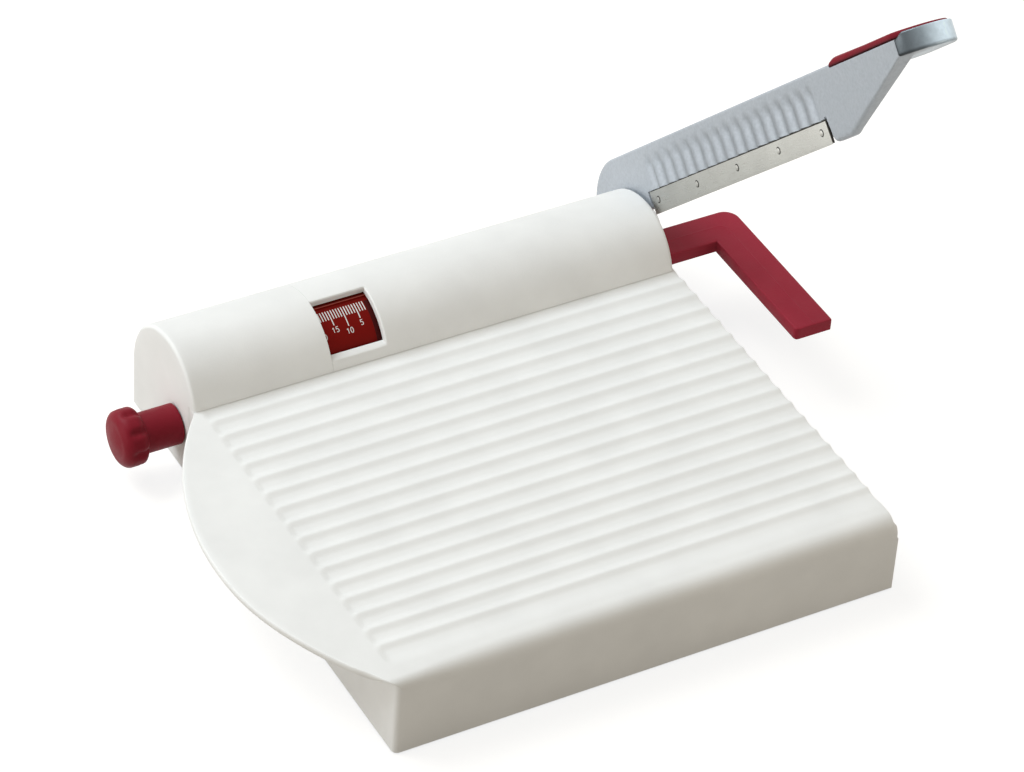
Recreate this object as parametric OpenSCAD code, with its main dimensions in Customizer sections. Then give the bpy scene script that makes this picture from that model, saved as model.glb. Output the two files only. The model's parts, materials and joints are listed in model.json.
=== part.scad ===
// Guillotine cheese slicer: a grooved board with a round flange, a housing with a scale window,
// a thickness stop moved by a knob, and a cutting lever with a steel blade.
// X runs to the right along the housing, Y to the back, Z up from the table.
// The lever stands raised and the stop stands wide open.

/* [Board] */
// Length of the board and of the housing
board_l = 186; // [170:1:205]
// Depth of the board from its front face to the foot of the housing
board_d = 146.3; // [130:0.1:165]
// Height of the board's top surface above the table
board_h = 31.4; // [30:0.1:36]
// Wall thickness of the board
board_wall = 2.6; // [2:0.1:3.2]
// Radius of the board's front top edge
front_r = 5; // [2:0.5:8]
// Reach of the round flange past the board's left side
flange_out = 27; // [18:0.5:34]
// Thickness of the round flange
flange_t = 2.6; // [2:0.1:4]
// Set-back of the left wall under the flange
skirt_inset = 1.1; // [0.5:0.1:3]
// Gap between the table and the lower edge of the walls
skirt_z = 0.6; // [0.3:0.1:1.2]
// Number of grooves across the top
groove_n = 16; // [8:1:16]
// Spacing of the grooves
groove_pitch = 8.1; // [5:0.1:8.3]
// Distance of the first groove from the front face
groove_first = 16.8; // [12:0.1:18]
// Distance of the groove ends from the left side
groove_inset = 2; // [0:0.5:10]
// Width of a groove
groove_w = 3.6; // [2:0.1:4.5]
// Depth of a groove
groove_depth = 0.8; // [0.4:0.1:1.2]
// Overhang of the board's right edge past the housing
edge_out = 0.6; // [0.2:0.1:0.6]
// Width of the ledge under the blade's path
ledge_w = 2.2; // [0.5:0.1:3]
// Drop of the ledge below the board's surface
ledge_drop = 8.6; // [7.5:0.1:16]
// Depth of the stiffening ribs under the board
rib_depth = 9; // [4:0.5:14]
// Thickness of the stiffening ribs
rib_t = 1.8; // [1.2:0.1:2.5]

/* [Base plate] */
// Thickness of the base plate
base_t = 2.4; // [2:0.1:3]
// Height of a rubber foot under the base plate
foot_h = 1.6; // [1.3:0.1:2.5]
// Diameter of a rubber foot
foot_d = 14; // [10:0.5:18]
// Diameter of a foot's peg
peg_d = 4; // [3:0.1:5]
// Distance of the feet from the ends of the board
foot_inset = 16; // [13:0.5:24]
// Gap between the base plate and the walls around it
base_gap = 0.3; // [0.2:0.05:0.6]
// Diameter of a column or boss that takes a screw
boss_d = 8; // [7:0.5:10]
// Thread diameter of the screws
screw_d = 3; // [2.5:0.1:3.5]
// Head diameter of the screws
screw_head_d = 5.6; // [5:0.1:6.5]
// Length of the screws in their bosses
screw_bite = 8; // [5:0.5:9]

/* [Housing] */
// Height of the housing above the board's surface
housing_rise = 16.2; // [15:0.1:20]
// Radius of the housing's front quarter
arch_front_r = 21.2; // [19:0.1:23]
// Radius of the housing's rear quarter
arch_rear_r = 28; // [26:0.1:31]
// Wall thickness of the housing
housing_t = 2.5; // [2:0.1:3]
// Strip of the board that carries the foot of the housing
rest_strip = 3.2; // [3:0.1:4]
// Length of the end cover, from the left end to its seam
cover_l = 52.3; // [48:0.1:60]
// Length of the end cover's lip inside the housing
lip_l = 4; // [2:0.5:6]
// Width of the scale window
window_w = 20.8; // [14:0.1:24]
// Angle of the window's lower edge on the arch
window_low = 29; // [27:1:40]
// Angle of the window's upper edge on the arch
window_high = 86; // [65:1:88]

/* [Scale and stop] */
// Reading of the scale in millimetres
reading = 20.6; // [10:0.1:22]
// Play left past the reading
travel_out = 1.6; // [0.5:0.1:3]
// Gap between the stop and the blade at zero
zero_gap = 0.4; // [0.3:0.05:1]
// Width of the stop's bar and leg
stop_w = 14.5; // [12:0.1:15]
// Thickness of the stop
stop_t = 5; // [4:0.1:6]
// Drop of the stop's top below the board's surface
stop_drop = 0.6; // [0.3:0.1:2]
// Distance of the stop's bar in front of the arch's middle
stop_front = 11.4; // [10.8:0.1:11.8]
// Length of the stop's leg, with its corner
leg_l = 69.3; // [40:0.5:90]
// Radius of the stop's outer corner
stop_corner_r = 5; // [2:0.5:12]
// Bevel along the edges of the stop
stop_bevel = 0.7; // [0.3:0.1:1.2]
// Clearance of the stop's bar in its slot
slot_gap = 0.35; // [0.2:0.05:0.6]
// Thickness of the curved scale
scale_t = 1.8; // [1.2:0.1:2.4]
// Gap between the scale and the housing wall
scale_gap = 0.9; // [0.8:0.1:1.4]
// Height of the rib along the scale
scale_rib = 0.4; // [0.2:0.1:0.5]
// Angle of the rib below the window's upper edge
scale_rib_drop = 1; // [0:0.5:14]
// Angle that the rib spans
scale_rib_arc = 2; // [1:0.5:4]
// Length of the block that holds the drive nut
block_l = 16; // [12:0.5:20]
// Length of the shelf that carries the stop
shelf_l = 26; // [22:0.5:30]

/* [Knob and spindle] */
// Distance of the knob's axis in front of the arch's middle
knob_front = 7.6; // [7:0.1:8.5]
// Distance of the knob's axis below the stop's bar
knob_below = 8.5; // [8:0.1:9.5]
// Diameter of the knob's head
knob_d = 21.2; // [18:0.1:24]
// Length of the knob's head
knob_l = 10; // [7:0.1:14]
// Crown of the knob's face
knob_crown = 1; // [0.4:0.1:2]
// Diameter of the knob's neck
neck_d = 14.4; // [13.5:0.1:16]
// Length of the knob's neck
neck_l = 13.6; // [8:0.1:16]
// Number of hollows round the knob's head
hollow_n = 8; // [5:1:10]
// Depth of a hollow
hollow_depth = 0.9; // [0.4:0.1:1.2]
// Width of a hollow
hollow_w = 4.6; // [3:0.1:5.5]
// Gap between the knob's neck and the end cover
neck_gap = 0.35; // [0.2:0.05:0.6]
// Diameter of the spindle's thread
spindle_d = 8; // [7:0.1:8.4]
// Diameter of the spindle's tail
tail_d = 6; // [5:0.1:6.5]
// Diameter of the guide rod
rod_d = 5; // [4:0.1:6]
// Distance of the guide rod behind the arch's middle
rod_back = 13; // [12.5:0.1:13.4]
// Radial clearance of a running fit
run_fit = 0.05; // [0.03:0.01:0.1]
// Radial clearance of a fixed fit
fix_fit = 0.02; // [0.01:0.01:0.05]

/* [Lever] */
// Angle of the raised lever above level
lever_angle = 44.7; // [30:0.1:60]
// Distance of the lever's pivot behind the arch's middle
pivot_back = 10.7; // [10.5:0.1:12]
// Distance of the lever's pivot below the board's surface
pivot_drop = 3.9; // [3.7:0.1:4.2]
// Thickness of the lever arm
arm_t = 4; // [3.2:0.1:5]
// Thickness of the arm's hub at the pivot
hub_t = 6.5; // [5.5:0.1:8]
// Height of the arm's top above the pivot when level
arm_top = 25.8; // [23:0.1:30]
// Gap between the blade and the board's edge
blade_gap = 0.4; // [0.3:0.05:0.8]
// Gap between the level arm and the stop
arm_gap = 0.5; // [0.4:0.05:1]
// Radius of the boss round the pivot
pivot_boss_r = 6.8; // [6.4:0.1:6.8]
// Reach of the arm's heel below the pivot
heel = 3; // [1:0.1:4]
// Distance of the blade's front end from the board's front face
blade_front = 14; // [10:0.1:24]
// Slit in front of the blade
slit_w = 1.2; // [0.5:0.1:2]
// Length of the foot in front of the slit
foot_l = 13; // [9:0.1:16]
// Depth of the blade pocket from the blade's back to the arm's lower edge
blade_cover = 6.2; // [5:0.1:7]
// Number of ribs across the arm
arm_rib_n = 16; // [8:1:18]
// Width of a rib across the arm
arm_rib_w = 6; // [3:0.1:7.5]
// Height of a rib across the arm at its lower end
arm_rib_h = 0.45; // [0.3:0.05:0.6]
// Distance of the first arm rib from the pivot
arm_rib_first = 32.7; // [32:0.1:40]
// Distance of the last arm rib from the blade's front end
arm_rib_last = 8.9; // [6:0.1:20]

/* [Handle] */
// Length of the handle past the foot of the arm
handle_l = 51.5; // [40:0.5:60]
// Width of the handle
handle_w = 23.6; // [20:0.1:26]
// Radius of the handle's round tip
tip_r = 12.6; // [12:0.1:14.5]
// Thickness of the handle at its tip
handle_t = 7.7; // [6:0.1:9]
// Rise of the handle's lip above the arm
lip_rise = 1; // [0.2:0.1:1.2]
// Width of the lip round the grip pad
lip_w = 2; // [1.4:0.1:3]
// Thickness of the grip pad
pad_t = 2.4; // [2:0.1:3]
// Rise of the grip pad above the arm
pad_rise = 1.3; // [1:0.1:1.6]
// Gap round the grip pad
pad_gap = 0.15; // [0.1:0.05:0.3]

/* [Blade and pivot] */
// Thickness of the blade
blade_t = 1; // [0.7:0.05:1.4]
// Height of the blade
blade_h = 8.55; // [7.6:0.05:9.5]
// Height of the ground bevel
bevel_h = 2; // [1:0.1:2.3]
// Distance of the blade's rear end from the pivot
blade_rear = 23; // [22.8:0.1:26]
// Number of rivets along the blade
rivet_n = 5; // [3:1:6]
// Diameter of a rivet's shank
rivet_d = 2.2; // [1.6:0.1:2.4]
// Diameter of a rivet's head
rivet_head_d = 3.2; // [2.8:0.1:3.6]
// Height of a rivet's head
rivet_head_h = 0.25; // [0.15:0.05:0.35]
// Distance of the rivets from the blade's ends
rivet_inset = 5; // [3:0.1:8]
// Height of the rivets above the cutting edge
rivet_rise = 4.7; // [4.4:0.1:5.4]
// Diameter of the pivot bolt's shoulder
pivot_d = 8; // [7:0.1:8.4]
// Diameter of the pivot bolt's thread
pivot_thread_d = 6; // [5:0.1:6.4]
// Wall of the lever's bush
bush_t = 1.4; // [1:0.1:1.6]
// Diameter of the bolt's head
pivot_head_d = 12; // [11:0.1:12.4]
// Height of the bolt's head
pivot_head_h = 3; // [2:0.1:4]
// Thickness of the spring washer under the bolt's head
spring_washer_t = 0.8; // [0.6:0.05:1.2]
// Play of the lever between its washers
side_play = 0.1; // [0.05:0.01:0.2]
// Width of the pivot nut across its flats
nut_af = 10; // [9:0.1:10]
// Height of the pivot nut
nut_h = 5; // [4:0.1:6]

/* [Hidden] */
$fn = 64;
// Overlap that keeps joined shapes in one piece, and reach of a cut past a face
join = 0.5;
past = 1;

// Board and base plate
edge_x = board_l + edge_out;
board_back = board_d + rest_strip;
flange_r = (pow(board_d / 2, 2) + pow(flange_out, 2)) / (2 * flange_out);
groove_r = (pow(groove_w / 2, 2) + pow(groove_depth, 2)) / (2 * groove_depth);
base_top = foot_h + base_t;
boss_r = boss_d / 2;
pilot_r = screw_d / 2;
head_h = 1.4;
ledge_h = board_h - ledge_drop;

// Housing: the front arc meets the board's surface at board_d
housing_h = board_h + housing_rise;
front_cz = housing_h - arch_front_r;
rear_cz = housing_h - arch_rear_r;
arch_y = board_d + sqrt(pow(arch_front_r, 2) - pow(board_h - front_cz, 2));
housing_back = arch_y + arch_rear_r;
window_x = cover_l;
wall_fit = 0.2;

// Lever: u runs from the pivot to the handle, v up from the pivot when the lever is level
pivot_y = arch_y + pivot_back;
pivot_z = board_h - pivot_drop;
arm_x = edge_x + blade_gap;
under_v = pivot_drop - stop_drop + arm_gap;
blade_top = under_v + blade_cover;
edge_v = blade_top - blade_h;
blade_end = pivot_y - blade_front;
foot_u = blade_end + slit_w;
foot_end = foot_u + foot_l;
handle_end = foot_end + handle_l;
handle_low = arm_top + lip_rise - handle_t;
pad_seat = arm_top + pad_rise - pad_t;
pad_u = foot_end - 2;
tip_u = handle_end - tip_r;
tip_x = handle_w - tip_r;
tip_corner = tip_u + sqrt(pow(tip_r, 2) - pow(tip_x, 2));
swell_u = tip_u - 20;
swell_l = 19;
pad_peg_d = 3;
pad_peg_l = 2.5;
bush_r = pivot_d / 2 + run_fit + bush_t;
rivet_pitch = (blade_end - blade_rear - 2 * rivet_inset) / (rivet_n - 1);
arm_rib_end = blade_end - arm_rib_last;
arm_rib_r = (pow(arm_rib_w / 2, 2) + pow(arm_rib_h, 2)) / (2 * arm_rib_h);

// Stop and scale
stop_y = arch_y - stop_front;
stop_z = board_h - stop_drop - stop_t;
stop_x = arm_x + blade_t + zero_gap + reading;
stop_out = stop_x + stop_w;
leg_y = stop_y + stop_w - leg_l;
scale_r = arch_front_r - housing_t - scale_gap;
scale_low = window_low - 5;
scale_high = window_high + 10;
scale_margin = 3;
scale_x = window_x - travel_out - scale_margin;
scale_end = window_x + window_w + reading + scale_margin;
block_x = scale_x + 12;
shelf_x = scale_end + 6 - shelf_l;
shelf_end = shelf_x + shelf_l;

// Knob and spindle
knob_y = arch_y - knob_front;
knob_z = stop_z - knob_below;
rod_y = arch_y + rod_back;
bush_wall = 2;
bush_flange = 1.5;
bush_l = 8;
spindle_bush_r = spindle_d / 2 + run_fit + bush_wall;
collar_t = 2;
collar_gap = 0.3;
collar_x = bush_l + bush_flange + collar_gap;
bracket_t = 5;
bracket_x = shelf_end + travel_out + 4;
bracket_foot = 9;
clip_t = 1;
clip_x = bracket_x + bracket_t + collar_gap;
spindle_end = clip_x + clip_t + 1;
nut_flange_t = 2;
nut_wall = 2.2;
drive_nut_r = spindle_d / 2 + run_fit + nut_wall;

// The part stands on the table with its middle at the origin
x_low = -flange_out;
x_high = max(stop_out, arm_x + handle_w);
y_high = max(housing_back, pivot_y + arm_top);
centre = [(x_low + x_high) / 2, y_high / 2, 0];

// Places of the screws and of the rubber feet
board_screws = [
    for (x = [skirt_inset + board_wall + boss_r - past, edge_x - board_wall - boss_r + past])
        for (y = [board_wall + boss_r - past, board_back - board_wall - boss_r + past]) [x, y]
];
rear_boss_y = housing_back - housing_t - boss_r + past;
cover_screws = [for (x = [housing_t + boss_r - past, cover_l - boss_r - 2]) [x, rear_boss_y]];
housing_screws = [for (x = [cover_l + boss_r + 8, board_l - housing_t - boss_r + past]) [x, rear_boss_y]];
bracket_screws = [for (y = [knob_y, rod_y]) [bracket_x + bracket_t + bracket_foot / 2, y]];
screw_places = concat(board_screws, cover_screws, housing_screws, bracket_screws);
foot_places = [
    for (x = [foot_inset + foot_d / 2, board_l - foot_inset - foot_d / 2])
        for (y = [foot_inset + foot_d / 2, housing_back - housing_t - foot_inset - foot_d / 2]) [x, y]
];
boss_h = screw_bite + 4;

// Points of the arc of radius r that rounds corner b between its neighbours a and c
function unit(v) = v / norm(v);
function turn(a) = a > 180 ? a - 360 : a < -180 ? a + 360 : a;
function round_corner(a, b, c, r, steps = 8) =
    r == 0 ? [b] :
    let (
        p = unit(a - b),
        q = unit(c - b),
        half = acos(p * q) / 2,
        middle = b + unit(p + q) * r / sin(half),
        from = b + p * r / tan(half) - middle,
        to = b + q * r / tan(half) - middle,
        start = atan2(from.y, from.x),
        sweep = turn(atan2(to.y, to.x) - start)
    )
    [for (i = [0:steps]) middle + r * [cos(start + sweep * i / steps), sin(start + sweep * i / steps)]];
// Outline through corners [x, y, radius]
function flat(p) = [p.x, p.y];
function rounded(corners) = [
    for (i = [0:len(corners) - 1])
        each round_corner(
            flat(corners[(i + len(corners) - 1) % len(corners)]),
            flat(corners[i]),
            flat(corners[(i + 1) % len(corners)]),
            corners[i].z
        )
];

// Moves the model so that its origin is the middle of its footprint
module place() {
    translate(-centre) children();
}

// Extrudes a profile drawn in Y and Z along X
module along_x(from, to) {
    translate([from, 0, 0]) rotate([90, 0, 90]) linear_extrude(to - from) children();
}

// Cylinder along X
module rod_x(from, to, r) {
    translate([from, 0, 0]) rotate([0, 90, 0]) cylinder(h = to - from, r = r);
}

// Turns a half profile, drawn with its radius and its distance along X, round an axis along X
module turned(from) {
    translate([from, 0, 0]) rotate([0, 90, 0]) rotate_extrude() children();
}

// Half profile of a cap of radius r and height h, standing on the line at from
module cap(from, r, h) {
    dome_r = (r * r + h * h) / (2 * h);
    intersection() {
        translate([0, from + h - dome_r]) circle(dome_r, $fn = 128);
        translate([0, from]) square([2 * r, h]);
    }
}

// Puts level lever shapes at the pivot and raises them
module raised() {
    translate([0, pivot_y, pivot_z]) rotate([-lever_angle, 0, 0]) children();
}

// Extrudes an outline drawn in u and v across the lever
module across(from, to) {
    translate([to, 0, 0]) rotate([90, 0, -90]) linear_extrude(to - from) children();
}

// Extrudes a plan drawn in u and x upwards over the lever
module upward(from, to) {
    translate([arm_x, 0, from]) rotate([0, 0, -90]) linear_extrude(to - from) children();
}

// Outline of the housing, inset by a wall, with its lower edge at low
module housing_profile(inset, low, front) {
    intersection() {
        translate([arch_y, front_cz]) circle(arch_front_r - inset);
        translate([arch_y - arch_front_r, board_h]) square(arch_front_r);
    }
    intersection() {
        translate([arch_y, rear_cz]) circle(arch_rear_r - inset);
        translate([arch_y, rear_cz]) square(arch_rear_r);
    }
    translate([front, low]) square([arch_y - front, board_h - low]);
    translate([arch_y, low]) square([arch_rear_r - inset, rear_cz - low]);
}

// Wedge of the arch between two angles
module wedge(low, high) {
    reach = 2 * arch_front_r;
    middle = (low + high) / 2;
    translate([arch_y, front_cz])
        polygon([[0, 0], for (a = [low, middle, high]) reach * [-cos(a), sin(a)]]);
}

// Ring of the scale between two angles
module scale_ring(outer, inner, low, high) {
    intersection() {
        difference() {
            translate([arch_y, front_cz]) circle(outer);
            translate([arch_y, front_cz]) circle(inner);
        }
        wedge(low, high);
    }
}

module at_places(places) {
    for (p = places) translate([p.x, p.y, 0]) children();
}

// Bosses on the base plate, and the pilot holes that go into them
module bosses(places) {
    at_places(places) translate([0, 0, base_top]) cylinder(h = boss_h, r = boss_r);
}

module pilots(places) {
    at_places(places) translate([0, 0, base_top - past])
        cylinder(h = screw_bite + past, r = pilot_r + fix_fit);
}

// White board with its round flange, grooves, walls and columns
module board_solid() {
    along_x(skirt_inset, edge_x) translate([0, skirt_z]) square([board_back, board_h - skirt_z]);
    along_x(edge_x - board_wall, edge_x + ledge_w)
        translate([0, skirt_z]) square([board_back, ledge_h - skirt_z]);
    intersection() {
        translate([flange_r - flange_out, board_d / 2, board_h - flange_t])
            cylinder(h = flange_t, r = flange_r, $fn = 128);
        translate([-flange_out - past, 0, 0])
            cube([flange_out + past + skirt_inset + board_wall, board_d, board_h]);
    }
}

// Corner outside the round of the front edge
module front_corner() {
    difference() {
        translate([-past, board_h - front_r]) square([front_r + past, front_r + past]);
        translate([front_r, board_h - front_r]) circle(front_r);
        translate([front_r, 0]) square(board_h);
    }
}

module board_hollow() {
    inner_l = edge_x - skirt_inset - 2 * board_wall;
    translate([skirt_inset + board_wall, board_wall, -past])
        cube([inner_l, board_back - 2 * board_wall, board_h - board_wall + past]);
    translate([skirt_inset + board_wall, board_back / 2, -past])
        cube([inner_l, board_back, base_top + past]);
}

module board_ribs() {
    rib_z = board_h - board_wall - rib_depth;
    for (i = [1:3])
        translate([skirt_inset + i * (edge_x - skirt_inset) / 4, board_wall - join, rib_z])
            cube([rib_t, board_back - 2 * board_wall + 2 * join, rib_depth + join]);
    translate([skirt_inset + board_wall - join, board_back / 2, rib_z])
        cube([edge_x - skirt_inset - 2 * board_wall + 2 * join, rib_t, rib_depth + join]);
}

module grooves() {
    axis_z = board_h + groove_r - groove_depth;
    for (i = [0:groove_n - 1])
        translate([groove_inset + groove_w / 2, groove_first + i * groove_pitch, axis_z]) {
            rod_x(0, edge_x, groove_r);
            sphere(groove_r);
        }
}

module board() {
    color("whitesmoke") place() difference() {
        union() {
            difference() {
                board_solid();
                board_hollow();
            }
            board_ribs();
            at_places(board_screws) translate([0, 0, base_top])
                cylinder(h = board_h - board_wall - base_top + join, r = boss_r);
        }
        along_x(-flange_out - past, edge_x + ledge_w + past) front_corner();
        grooves();
        pilots(board_screws);
    }
}

// Plate that closes the underside and carries the mechanism and the feet
module base_plate() {
    front_x = skirt_inset + board_wall + base_gap;
    front_y = board_wall + base_gap;
    rear_x = housing_t + base_gap;
    front_back = board_back - board_wall - base_gap;
    rear_front = board_back + base_gap;
    color("gainsboro") place() difference() {
        union() {
            translate([front_x, front_y, foot_h])
                cube([edge_x - board_wall - base_gap - front_x, front_back - front_y, base_t]);
            translate([rear_x, rear_front, foot_h])
                cube([board_l - 2 * rear_x, housing_back - housing_t - base_gap - rear_front, base_t]);
            translate([front_x, front_back - join, foot_h])
                cube([board_l - rear_x - front_x, rear_front - front_back + 2 * join, base_t]);
        }
        at_places(screw_places) {
            translate([0, 0, foot_h - past]) cylinder(h = base_t + 2 * past, r = pilot_r + run_fit);
            translate([0, 0, foot_h - past]) cylinder(h = head_h + past, r = screw_head_d / 2 + base_gap);
        }
        at_places(foot_places) translate([0, 0, foot_h - past])
            cylinder(h = base_t + 2 * past, r = peg_d / 2 + fix_fit);
    }
}

module rubber_feet() {
    color("dimgray") place() at_places(foot_places) {
        cylinder(h = foot_h, r = foot_d / 2);
        cylinder(h = base_top + 1, r = peg_d / 2);
    }
}

module base_screws() {
    color("silver") place() at_places(screw_places) {
        translate([0, 0, foot_h]) cylinder(h = head_h, r = screw_head_d / 2);
        translate([0, 0, foot_h]) cylinder(h = base_t + screw_bite - 1, r = pilot_r);
    }
}

// Main housing with its right end wall, window notch, stop slot and pivot boss
module housing() {
    color("white") place() difference() {
        union() {
            difference() {
                along_x(cover_l, board_l) housing_profile(0, skirt_z, board_back + wall_fit);
                along_x(cover_l - past, board_l - housing_t) housing_profile(housing_t, -past, board_d);
            }
            bosses(housing_screws);
            translate([0, pivot_y, pivot_z]) rod_x(board_l - 2 * housing_t, board_l - join, pivot_boss_r);
        }
        along_x(cover_l - past, window_x + window_w) wedge(window_low, window_high);
        translate([board_l - housing_t - past, stop_y - slot_gap, stop_z - slot_gap])
            cube([housing_t + 2 * past, stop_w + 2 * slot_gap, stop_t + 2 * slot_gap]);
        translate([0, pivot_y, pivot_z])
            rod_x(board_l - 2 * housing_t - past, board_l + past, pivot_thread_d / 2 + fix_fit);
        pilots(housing_screws);
    }
}

// Ring of the end cover's lip, from the depth outer under the housing's surface
module lip_ring(outer) {
    difference() {
        housing_profile(outer, base_top, board_d);
        housing_profile(housing_t * 1.5 + wall_fit, -past, board_d - past);
    }
}

// Left end of the housing, with the knob's bearing and the end of the guide rod
module end_cover() {
    color("white") place() difference() {
        union() {
            difference() {
                along_x(0, cover_l) housing_profile(0, skirt_z, board_back + wall_fit);
                along_x(housing_t, cover_l + past) housing_profile(housing_t, -past, board_d);
            }
            intersection() {
                union() {
                    along_x(cover_l - lip_l, cover_l) lip_ring(housing_t / 2);
                    along_x(cover_l - lip_l / 2, cover_l + lip_l) lip_ring(housing_t + wall_fit);
                }
                translate([0, arch_y + boss_d, rear_cz]) cube([board_l, arch_rear_r, arch_rear_r]);
            }
            bosses(cover_screws);
            translate([0, knob_y, knob_z]) rod_x(join, bush_l, spindle_bush_r + bush_wall);
            translate([0, rod_y, knob_z]) rod_x(join, bush_l, rod_d / 2 + bush_wall);
        }
        translate([0, knob_y, knob_z]) rod_x(-past, bush_l + past, spindle_bush_r + fix_fit);
        translate([0, rod_y, knob_z]) rod_x(housing_t, bush_l + past, rod_d / 2 + fix_fit);
        pilots(cover_screws);
    }
}

module guide_rod() {
    color("lightsteelblue") place() translate([0, rod_y, knob_z])
        rod_x(housing_t, bracket_x + bracket_t, rod_d / 2);
}

// Bracket that carries the spindle's tail and the far end of the guide rod
module bearing_bracket() {
    side = boss_r + 2;
    bore_from = bracket_x - past;
    bore_to = bracket_x + bracket_t + past;
    color("lightgray") place() difference() {
        union() {
            translate([bracket_x, knob_y - side, base_top])
                cube([bracket_t, rod_y - knob_y + 2 * side, knob_z - base_top]);
            for (y = [knob_y, rod_y])
                translate([0, y, knob_z]) rod_x(bracket_x, bracket_x + bracket_t, boss_r + 1);
            at_places(bracket_screws) translate([-bracket_foot / 2 - join, -side, base_top])
                cube([bracket_foot, 2 * side, screw_bite + 1]);
        }
        translate([0, knob_y, knob_z]) rod_x(bore_from, bore_to, tail_d / 2 + run_fit);
        translate([0, rod_y, knob_z]) rod_x(bore_from, bore_to, rod_d / 2 + fix_fit);
        translate([clip_x - collar_gap, knob_y, knob_z]) rod_x(0, bracket_foot, boss_r + 1);
        pilots(bracket_screws);
    }
}

// Flanged bush in the end cover for the knob's spindle
module spindle_bush() {
    color("peru") place() translate([0, knob_y, knob_z]) difference() {
        union() {
            rod_x(0, bush_l + bush_flange, spindle_bush_r);
            rod_x(bush_l, bush_l + bush_flange, spindle_bush_r + bush_wall);
        }
        rod_x(-past, bush_l + bush_flange + past, spindle_d / 2 + run_fit);
    }
}

// Shoulder bolt of the lever, with a domed head and a hexagon socket
module pivot_bolt() {
    head_x = arm_x + hub_t + spring_washer_t + 2 * side_play;
    thread_l = 2 * housing_t + nut_h + 1;
    rim_h = pivot_head_h / 3;
    shank_l = thread_l + head_x - board_l;
    color("silver") place() translate([0, pivot_y, pivot_z]) difference() {
        turned(board_l - thread_l) {
            square([pivot_thread_d / 2, shank_l]);
            translate([0, thread_l]) square([pivot_d / 2, shank_l - thread_l]);
            translate([0, shank_l]) square([pivot_head_d / 2, rim_h]);
            cap(shank_l + rim_h, pivot_head_d / 2, pivot_head_h - rim_h);
        }
        translate([head_x + rim_h, 0, 0]) rotate([0, 90, 0])
            cylinder(h = pivot_head_h, d = pivot_thread_d / 1.5, $fn = 6);
    }
}

module pivot_nut() {
    nut_x = board_l - 2 * housing_t - nut_h;
    color("silver") place() translate([nut_x, pivot_y, pivot_z]) rotate([0, 90, 0]) difference() {
        cylinder(h = nut_h, d = nut_af / cos(30), $fn = 6);
        translate([0, 0, -past]) cylinder(h = nut_h + 2 * past, r = pivot_thread_d / 2 + fix_fit);
    }
}

// Friction washer between the housing's end and the lever
module friction_washer() {
    color("ivory") place() translate([0, pivot_y, pivot_z]) difference() {
        rod_x(board_l, arm_x - side_play, pivot_boss_r - 0.3);
        rod_x(board_l - past, arm_x + past, pivot_d / 2 + run_fit);
    }
}

// Spring washer under the bolt's head
module spring_washer() {
    from = arm_x + hub_t + side_play;
    color("gray") place() translate([0, pivot_y, pivot_z]) difference() {
        rod_x(from, from + spring_washer_t, pivot_head_d / 2);
        rod_x(from - past, from + spring_washer_t + past, pivot_d / 2 + run_fit);
    }
}

// Side outline of the arm: round root, cut clear of the stop's bar, beam, foot and web
module arm_outline() {
    intersection() {
        circle(arm_top, $fn = 128);
        translate([-arm_top, -heel]) square([arm_top, arm_top + heel]);
    }
    circle(pivot_boss_r);
    polygon(rounded([
        [0, under_v, 0],
        [blade_end, under_v, 0],
        [blade_end, blade_top, 0],
        [foot_u, blade_top, 0],
        [foot_u + slit_w, edge_v, 1.5],
        [foot_end, edge_v, 6],
        [tip_corner - join, handle_low, 0],
        [tip_corner - join, arm_top, 0],
        [0, arm_top, 0]
    ]));
}

// Plan of the handle, inset by a lip at its tip and right side, and open past its left side by open
module handle_plan(inset, open) {
    front = tip_u - inset;
    intersection() {
        translate([front, tip_x]) circle(tip_r);
        translate([front, -open]) square([tip_r, handle_w - inset + open]);
    }
    polygon(rounded([
        [swell_u - 2 * swell_l, -open, 0],
        [front, -open, 0],
        [front, handle_w - inset, 0],
        [swell_u, handle_w - inset, 14],
        [swell_u - swell_l, arm_t - inset, 18],
        [swell_u - 2 * swell_l, arm_t - inset, 0]
    ]));
}

// Plan of the grip pad, with a gap to the lip and to the arm behind it
module pad_plan(gap, open) {
    intersection() {
        handle_plan(lip_w + gap, open);
        translate([pad_u + gap, -open]) square([handle_l + foot_l, handle_w + open]);
    }
}

// Space over the handle's lip, which rises from the arm's top to the tip
module over_lip() {
    roof = arm_top + lip_rise + past;
    polygon([
        [swell_u - 3 * swell_l, roof],
        [swell_u - 3 * swell_l, arm_top],
        [swell_u, arm_top],
        [tip_u, arm_top + lip_rise],
        [tip_u, roof]
    ]);
}

// Corrugation of the arm: each rib fades out towards the arm's top
module arm_ribs() {
    rise = arm_top - blade_top;
    lean = atan(arm_rib_h / rise);
    pitch = (arm_rib_end - arm_rib_first) / (arm_rib_n - 1);
    intersection() {
        for (i = [0:arm_rib_n - 1])
            translate([arm_x - arm_rib_h + arm_rib_r, -arm_rib_first - i * pitch, blade_top])
                rotate([0, lean, 0]) translate([0, 0, -past]) cylinder(h = rise + past, r = arm_rib_r);
        translate([arm_x - past, -arm_rib_end - arm_rib_w, blade_top])
            cube([past + arm_t / 2, arm_rib_end - arm_rib_first + 2 * arm_rib_w, rise - past]);
    }
}

module at_rivets() {
    for (i = [0:rivet_n - 1])
        translate([0, -blade_rear - rivet_inset - i * rivet_pitch, edge_v + rivet_rise]) children();
}

module at_pad_pegs() {
    for (u = [swell_u, tip_u]) translate([arm_x + tip_x, -u, 0]) children();
}

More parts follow.
